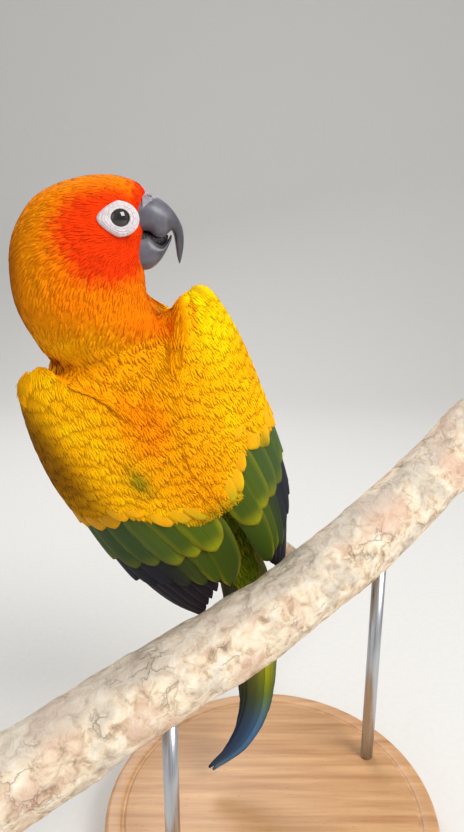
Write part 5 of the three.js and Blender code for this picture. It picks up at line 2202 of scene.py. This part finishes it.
@dataclass
class Face:
    """Eyes, the bare creased skin round them, cere, nostrils and bill."""

    upper: tuple[tuple[float, ...], ...] = (
        (14, 12, 14, 1.6, 6.4), (19.1, 11.6, 18, 1.5, 6.3), (21.5, 10.8, 20.2, -0.1, 5.9),
        (23.6, 9.4, 22.2, -0.2, 5.2), (25.5, 7.4, 23.8, 0.9, 4.3), (27, 5.2, 24.9, 1.7, 3.4),
        (28.1, 2.8, 25.6, 0.4, 2.6), (28.5, 0.2, 25.9, -1.4, 2), (28.4, -2.8, 26.2, -3.7, 1.4),
        (27.9, -5.6, 26.5, -5.9, 0.8), (27.3, -7.7, 27, -7.7, 0.25))
    lower: tuple[tuple[float, ...], ...] = (
        (14, -9.6, 14, 0.8, 5.2), (17.6, -9.5, 17.6, 0.6, 5.1), (19.8, -8.4, 18.9, -0.5, 4.9),
        (21.6, -6.6, 20.2, -1.8, 4.5), (22.9, -4.7, 21.6, -2.6, 3.9), (24, -2.6, 22.9, -1.9, 3),
        (24.8, -0.9, 24, -0.6, 2), (25, 0.3, 24.6, 0.5, 0.8))
    nostril: tuple[float, float, float] = (18.6, 3.1, 11.0)

    @staticmethod
    def on_cheek(points: Array, side: int) -> Array:
        """Moves places from the cheek's own frame (ahead, up, out) to the model's.

        Args:
            points: places on the bird's right cheek.
            side: -1 for the right cheek and 1 for the left.

        Returns:
            The places in the model's frame.
        """
        place, ahead, up, outward = HEAD_FORM.cheek(EYE.ahead, EYE.up, EYE.facing)
        spot = place + points[..., :1] * ahead + points[..., 1:2] * up + points[..., 2:] * outward
        return HEAD.out(spot * np.array([1, -side, 1]))

    def eyeball(self, side: int, finish: Material) -> None:
        """Makes one eyeball with pupil and iris."""
        polar = np.linspace(0.04, math.pi - 0.04, 36)
        turn = turns(48)
        rings = np.stack([np.sin(polar)[:, None] * np.cos(turn), np.sin(polar)[:, None] * np.sin(turn),
                          np.broadcast_to(np.cos(polar)[:, None], (36, 48))], -1) * EYE.radius
        points, faces = loft(rings)
        lean = np.arccos(np.clip(points[:, 2] / np.maximum(np.linalg.norm(points, axis=1), 1e-6),
                                 -1, 1)) * EYE.radius
        placed = self.on_cheek(points - np.array([0, 0, EYE.depth]), side)
        if side == 1:
            faces = [face[::-1] for face in faces]
        name = "left" if side == 1 else "right"
        ball = add_object(f"eyeball_{name}", placed, faces)
        colour = blend("#040304", "#271b15", ramp(lean, 1.05, 1.3))
        colour = blend(colour, "#181110", ramp(lean, 1.8, 2.3))
        tinted(ball, colour)
        dress(ball, finish, "eye", f"eye_{name}")

    def bare_skin(self, side: int, finish: Material) -> None:
        """Makes the pale creased skin and the lids round one eye as one closed ring."""
        share = np.array([1.04, 1.0, 0.97, *(0.93 - 0.04 * np.arange(23)), 0.02, 0.0])
        level = np.interp(share, [0, 0.06, 0.16, 0.28, 0.4, 0.6, 0.8, 0.93, 1.0, 1.04],
                          [0.5, 0.82, 1.0, 0.86, 0.94, 0.86, 0.62, 0.3, 0.0, -0.6])
        turn = turns(96)
        cos, sin = np.cos(turn), np.sin(turn)
        outer_x = EYE.ring_long * cos - EYE.ring_back
        outer_y = EYE.ring_high * sin * (1 + EYE.corner * np.minimum(cos, 0)) - EYE.ring_down
        inner_x, inner_y = (EYE.opening * 1.04) * cos, EYE.opening * 0.95 * sin
        x = inner_x + (outer_x - inner_x) * share[:, None]
        y = inner_y + (outer_y - inner_y) * share[:, None]
        fold = 0.09 * np.sin(share[:, None] * 30 + 0.7 * np.sin(turn * 3 + 1) + 2 * speckle(
            np.stack([x, y, 0 * x], -1), 3.0, 8)) * smooth((1 - share[:, None]) * 5) \
            * smooth((share[:, None] - 0.16) * 6)
        corner = np.exp(-((turn - math.pi) ** 2) / 0.12)
        z = level[:, None] + fold - 0.25 * corner * (1 - share[:, None])
        front = np.stack([x, y, z], -1)
        back = np.stack([x[::-9], y[::-9], np.full_like(x[::-9], -1.3)], -1)
        rings = np.concatenate([front, back])
        count = len(rings)
        faces = grid_faces(count + 1, 96) % (count * 96)
        placed = self.on_cheek(rings.reshape(-1, 3), side)
        name = "left" if side == 1 else "right"
        ring = add_object(f"bare_skin_{name}", placed, facing_out(placed, faces.tolist()))
        pale, shadow = "#d5cbcc", "#4e4443"
        rim = np.concatenate([1 - ramp(share, 0.03, 0.12), np.zeros(count - len(share))])
        colour = blend(pale, shadow, np.repeat(rim, 96) * 0.9)
        crease = np.concatenate([fold, np.zeros((count - len(share), 96))]).ravel()
        # Painted shade: the skin is greyer in the low parts of its folds.
        colour = blend(colour, "#b9adb0", ramp(-crease, 0.02, 0.1) * 0.5)
        tinted(ring, colour)
        dress(ring, finish, "eye", f"eye_{name}")

    @staticmethod
    def fair(rows: Sequence[Sequence[float]], count: int) -> Array:
        """A table read at more places, as a smooth curve through its rows."""
        table = np.array(rows, float)
        padded = np.vstack([2 * table[0] - table[1], table, 2 * table[-1] - table[-2]])
        at = np.linspace(0, len(table) - 1, count)
        index = np.minimum(at.astype(int), len(table) - 2)
        t = (at - index)[:, None]
        a, b, c, d = (padded[index + k] for k in range(4))
        return b + 0.5 * t * (c - a + t * (2 * a - 5 * b + 4 * c - d + t * (3 * (b - c) + d - a)))

    def bill(self, finish: Material) -> None:
        """Makes the hooked upper bill and the cupped lower one.

        Each ring spans from the ridge to the cutting edge, rounded above and steep below.

        Args:
            finish: the bill's horn.
        """
        steps, width = 60, 48
        for name, rows, node in (("bill_upper", self.upper, "upper_bill"),
                                 ("bill_lower", self.lower, "lower_bill")):
            ridge_x, ridge_z, edge_x, edge_z, half = self.fair(rows, steps).T[..., None]
            half = np.maximum(half, 0.12)
            angle = turns(width)
            height, cos = np.sin(angle), np.cos(angle)
            wall = np.where(height < 0, np.abs(cos) ** 0.6, np.abs(cos))
            rings = np.stack([(ridge_x + edge_x + height * (ridge_x - edge_x)) / 2,
                              half * wall * np.sign(cos),
                              (ridge_z + edge_z + height * (ridge_z - edge_z)) / 2], -1)
            points, faces = loft(rings)
            along = np.append(np.repeat(np.linspace(0, 1, steps), width), [0, 1])
            level = np.append(np.tile(height, steps), [0, 0])
            colour = blend("#5d5c65", "#47454b", ramp(along, 0.2, 0.45))
            colour = blend(colour, "#322f33", ramp(along, 0.55, 0.98))
            # Pale along the cutting edges: worn horn there, and a painted highlight along the edge.
            rim = ramp(-level, 0.8, 0.97) * ramp(along, 0.12, 0.3)
            colour = blend(colour, "#989293", rim * 0.8)
            streak = speckle(points * np.array([1.0, 1.0, 0.5]), 1.3, 9)
            colour = blend(colour, "#78747a", ramp(streak, 0.2, 0.8) * 0.25)
            piece = add_object(name, HEAD.out(points), faces)
            tinted(piece, colour)
            dress(piece, finish, "bill", node)

    def cere(self, finish: Material) -> None:
        """Makes the bare swollen band over the bill's root, with its two nostrils."""
        turn = np.linspace(0.02 * math.pi, 0.98 * math.pi, 61)
        share = np.linspace(0, 1, 19)[:, None]
        full = np.sin(turn) ** 0.4
        swell = (0.35 + 0.4 * np.sqrt(np.clip(1 - share ** 3, 0, 1))) * full - 0.5 * (1 - full)
        x = 16.4 + (2.6 + 0.6 * full) * share - 1.4 * share * (1 - full)
        y = (6.25 + swell - 0.5 * share) * np.cos(turn)
        z = 6.3 + (5.35 + swell - 0.45 * share ** 2) * np.sin(turn)
        nostrils = [np.array([self.nostril[0], sign * self.nostril[1], self.nostril[2]])
                    for sign in (-1, 1)]
        for spot in nostrils:
            gap = np.sqrt((x - spot[0]) ** 2 + (y - spot[1]) ** 2 + (z - spot[2]) ** 2 * 0.5)
            lift = 0.3 * np.exp(-((gap - 1.2) / 0.4) ** 2) - 1.0 * np.exp(-(gap / 0.7) ** 2)
            y, z = y + lift * np.cos(turn), z + lift * np.sin(turn)
        outer = np.stack([x, y, z], -1)
        inner = np.stack([x, y * 0.8, 6.3 + (z - 6.3) * 0.8], -1)
        points, faces = blades(outer[None], inner[None])
        piece = add_object("cere", HEAD.out(points), facing_out(points, faces.tolist()))
        # Painted shade: the nostrils are painted dark, for the shade inside their openings.
        near = [1 - ramp(np.linalg.norm(points - spot, axis=1), 0.55, 1.1) for spot in nostrils]
        tinted(piece, blend("#918c92", "#2c2628", np.maximum(*near)))
        dress(piece, finish, "bill", "upper_bill")

    def tongue(self, finish: Material) -> None:
        """Makes the dark fleshy tongue, which fills the open bill."""
        line = Line([(13, 0, -0.4), (18, 0, -1.0), (21.5, 0, -0.9), (23.9, 0, 0.4)])

        def size(share: Array) -> tuple[Array, Array]:
            """Half sizes, with a rounded end."""
            end = np.sqrt(np.clip(1 - share ** 3, 0.003, 1))
            return (4.9 - 2.4 * share) * end, (3.0 - 0.9 * share) * end

        points, faces = loft(tube(line, np.linspace(0, 1, 28), 28, (0, 1, 0), size))
        piece = add_object("tongue", HEAD.out(points), faces)
        tinted(piece, blend("#2e2827", "#171314", ramp(speckle(points, 1.2, 30), -0.5, 0.5)))
        dress(piece, finish, "bill", "upper_bill", "lower_bill")

    def build(self, finishes: Finishes) -> None:
        """Makes the whole face."""
        self.tongue(finishes.scales)
        for side in (-1, 1):
            self.eyeball(side, finishes.eye)
            self.bare_skin(side, finishes.bare)
        self.bill(finishes.horn)
        self.cere(finishes.bare)


@dataclass
class Foot:
    """One gripping foot: two toes ahead and two behind, with scales and claws."""

    side: Side
    toes: tuple[tuple[float, float, float], ...] = (
        (-1.6, -5.2, 2.5), (1.4, 4.6, 2.2), (-1.3, -4.3, -2.0), (1.6, 5.6, -2.3))
    limb: float = 6.6
    toe: float = 1.95
    claw: float = 1.3
    tarsus: float = 2.3
    palm_turn: float = -0.25

    def build(self, finishes: Finishes) -> None:
        """Makes the scaled parts as one piece and the claws as another."""
        leg = LEGS[self.side]
        place, ahead, _, _ = (value[0] for value in LIMB_LINE.frames(np.array([leg["grip"]]), UPRIGHT))
        up = np.array([0, -0.35, 1.0])
        up = unit(up - ahead * (up @ ahead))
        out = unit(np.cross(up, ahead))
        out = -out if out[1] < 0 else out

        def around(angle: Array, radius: Array, along: Array) -> Array:
            """Places round the limb, in the model's frame."""
            return (place + up * np.multiply(np.cos(angle), radius)[..., None]
                    + out * np.multiply(np.sin(angle), radius)[..., None]
                    + ahead * np.asarray(along)[..., None])

        hide: list[Shell] = []
        nails: list[Shell] = []
        palm = around(np.array([self.palm_turn]), self.limb + self.tarsus, np.array([0.0]))[0]
        ankle = np.array(leg["heel"], float)
        shank = Line([ankle, (ankle + palm) / 2, palm])
        hide.append(loft(tube(
            shank, np.linspace(0, 1, 28), 24, ahead, lambda share: (
                self.tarsus - 0.5 * np.sin(share * math.pi)
                + 0.1 * np.abs(np.sin(share * 22)),) * 2)))
        for near, far, turn in self.toes:
            share = np.linspace(0, 1, 9)
            path = around(self.palm_turn + turn * share, self.limb + self.toe - 0.2 * share,
                          near * np.minimum(1, share * 3) + (far - near) * share)
            hide.append(loft(tube(
                Line(path), np.linspace(0, 1, 44), 20, ahead, lambda share: (
                    self.toe - 0.5 * share + 0.16 * np.abs(np.sin(share * 20)) - 0.08
                    + 0.14 * np.exp(-((share % 0.34 - 0.17) / 0.05) ** 2),) * 2)))
            nail = np.vstack([path[-1], around(np.array([self.palm_turn + 1.16 * turn]),
                                               self.limb + 2.5, np.array([1.05 * far])),
                              around(np.array([self.palm_turn + 1.3 * turn]), self.limb + 1.1,
                                     np.array([1.1 * far]))])
            nails.append(loft(tube(Line(nail), np.linspace(0, 1, 16), 14, ahead,
                                   lambda share: (self.claw * (1 - 0.78 * share),) * 2)))
        name = self.side.name.lower()
        for label, shells, finish, light, dark in (
                ("foot_skin", hide, finishes.scales, "#8a7f7e", "#4c4446"),
                ("claws", nails, finishes.claw, "#4a4346", "#1f1c1e")):
            whole, faces = join(shells)
            piece = add_object(f"{label}_{name}", whole, faces)
            tinted(piece, blend(light, dark, ramp(speckle(whole, 1.4, 10), -0.6, 0.8)))
            dress(piece, finish, "foot_skin", f"foot_{name}")


@dataclass
class Branch:
    """The thick perch branch and the side limb that the feet hold."""

    radius: float = 14.8
    limb_radius: float = 6.6

    def loft_wood(self, name: str, line: Line, steps: int, width: int,
                  size: Callable[[Array, Array], Array], node: str,
                  finish: Material) -> None:
        """Makes one length of wood with rough bark and sawn ends.

        Args:
            name: the piece's name.
            line: its middle line.
            steps: rings along it.
            width: points a ring.
            size: gives the radii from the shares and the angles.
            node: the CAD node that it stands for.
            finish: the bark.
        """
        shares = np.linspace(0, 1, steps)
        place, ahead, side, over = line.frames(shares, UPRIGHT)
        angle = turns(width)
        flat = np.stack([np.cos(angle), np.sin(angle)], -1)
        way = side[:, None] * flat[:, :1] + over[:, None] * flat[:, 1:]
        along = shares * line.length
        radius = size(shares[:, None], angle[None])

        def spread(lengths: Array) -> Array:
            """Each point's place along the wood and across it."""
            return np.stack([np.broadcast_to(lengths[:, None], radius.shape), radius * flat[:, 0],
                             radius * flat[:, 1]], -1)

        rough = spread(along / 1.6)
        radius = (radius + 0.55 * speckle(rough, 7.5, 11) + 0.3 * speckle(rough, 3.2, 12)
                  + 0.12 * speckle(rough, 1.5, 13))
        rings = place[:, None] + way * radius[..., None]
        grain = spread(along)
        shrink = np.array([0, 0.3, 0.6, 0.85, 0.955, 0.975])[:, None, None]
        whole, marks = rings, grain
        for end, back in ((0, 1), (-1, -1)):
            cap = (place[end] + back * ahead[end] * 0.12 * (shrink > 0.96)
                   + (rings[end] - place[end]) * np.maximum(shrink, 0.02))
            mark = grain[end] * np.where([True, False, False], 1, shrink)
            whole = np.concatenate([cap, whole] if back == 1 else [whole, cap[::-1]])
            marks = np.concatenate([mark, marks] if back == 1 else [marks, mark[::-1]])
        sawn = np.repeat(np.pad(np.zeros(steps), 6, constant_values=1), width)
        piece = add_object(name, *loft(whole))
        ends = np.array([[0, 0, 0], [line.length, 0, 0]])
        set_attribute(piece, "grain", "FLOAT_VECTOR", np.vstack([marks.reshape(-1, 3), ends]) * MM)
        set_attribute(piece, "cut", "FLOAT", np.append(sawn, [1, 1]))
        crest = np.zeros(whole.shape[:2])
        crest[6:-6] = ramp(way[..., 2] + 0.12 * speckle(rough, 6, 17), 0.62, 0.98) * 0.6
        set_attribute(piece, "upper", "FLOAT", np.append(crest.ravel(), [0, 0]))
        dress(piece, finish, "bark", node)

    def build(self, finish: Material) -> None:
        """Makes the branch and the limb."""
        def branch_size(share: Array, angle: Array) -> Array:
            """The lumpy oval branch's radius."""
            lump = 0.8 * np.sin(share * 21) + 0.5 * np.sin(share * 47 + 1)
            wide, deep = self.radius + lump, self.radius - 0.6 * lump
            return np.hypot(wide * np.cos(angle), deep * np.sin(angle)) - 0.2

        def limb_size(share: Array, angle: Array) -> Array:
            """The limb's radius, which flares where it leaves the branch."""
            flare = 3 * np.maximum(0, 0.25 - share) / 0.25
            return self.limb_radius + flare + 0 * angle - 0.3

        self.loft_wood("branch", PERCH_LINE, 260, 120, branch_size, "perch_branch", finish)
        self.loft_wood("side_limb", LIMB_LINE, 170, 64, limb_size, "perch_limb", finish)


@dataclass
class Stand:
    """A turned beech base and two steel rods that hold the branch."""

    radius: float = 74.0
    height: float = 14.0
    rod: float = 3.0

    def turned(self, name: str, profile: Sequence[tuple[float, float]],
               middle: tuple[float, float], width: int) -> Object:
        """A shape turned about an upright axis, from its profile of radius and height."""
        angle = turns(width)
        rows = np.array(profile, float)
        rings = np.stack([middle[0] + rows[:, :1] * np.cos(angle),
                          middle[1] + rows[:, :1] * np.sin(angle),
                          np.broadcast_to(rows[:, 1:], (len(rows), width))], -1)
        return add_object(name, *loft(rings))

    def build(self, finishes: Finishes) -> None:
        """Makes the base and the rods."""
        rim, top = self.radius, self.height
        edge = [(rim - 2 + 2 * math.sin(a), top - 2 + 2 * math.cos(a))
                for a in np.linspace(0, math.pi / 2, 8)]
        low = [(rim - 0.8 + 0.8 * math.cos(a), 0.8 - 0.8 * math.sin(a))
               for a in np.linspace(0, math.pi / 2, 5)]
        face = [(0.5, top), (20, top), (rim - 9.4, top), (rim - 9, top - 0.15),
                (rim - 8.6, top - 0.55), (rim - 8, top - 0.7), (rim - 7.4, top - 0.55),
                (rim - 7, top - 0.15), (rim - 6.6, top)]
        base = self.turned("beech_base", [*face, *edge, *low, (30, 0), (0.5, 0)], (0, 0), 160)
        dress(base, finishes.beech, "base_wood", "stand_base")
        for name in ("left", "right"):
            lowest, highest = (np.array(corner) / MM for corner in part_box(f"stand_rod_{name}"))
            middle = (lowest + highest) / 2
            start, end = lowest[2], highest[2]
            profile = [(0.2, start), (self.rod - 0.05, start), (self.rod, start + 0.05),
                       (self.rod, end - 0.05), (0.2, end)]
            rod = self.turned(f"steel_rod_{name}", profile, (middle[0], middle[1]), 40)
            dress(rod, finishes.steel, "rod_steel", f"stand_rod_{name}")


def main() -> None:
    """Builds the whole model and reports each piece."""
    logging.basicConfig(level=logging.INFO, format="%(message)s")
    CameraRig().build()
    finishes = Finishes()
    Studio().build(finishes.paper)
    skin = PlumageSkin().build(finishes.skin)
    SmallFeathers().build(skin, finishes.tuft)
    for side in Side:
        WingPlumage(side).build(finishes.vane)
    TailPlumage().build(finishes.vane)
    Face().build(finishes)
    for side in Side:
        Foot(side).build(finishes)
    Branch().build(finishes.bark)
    Stand().build(finishes)


if __name__ == "__main__":
    main()
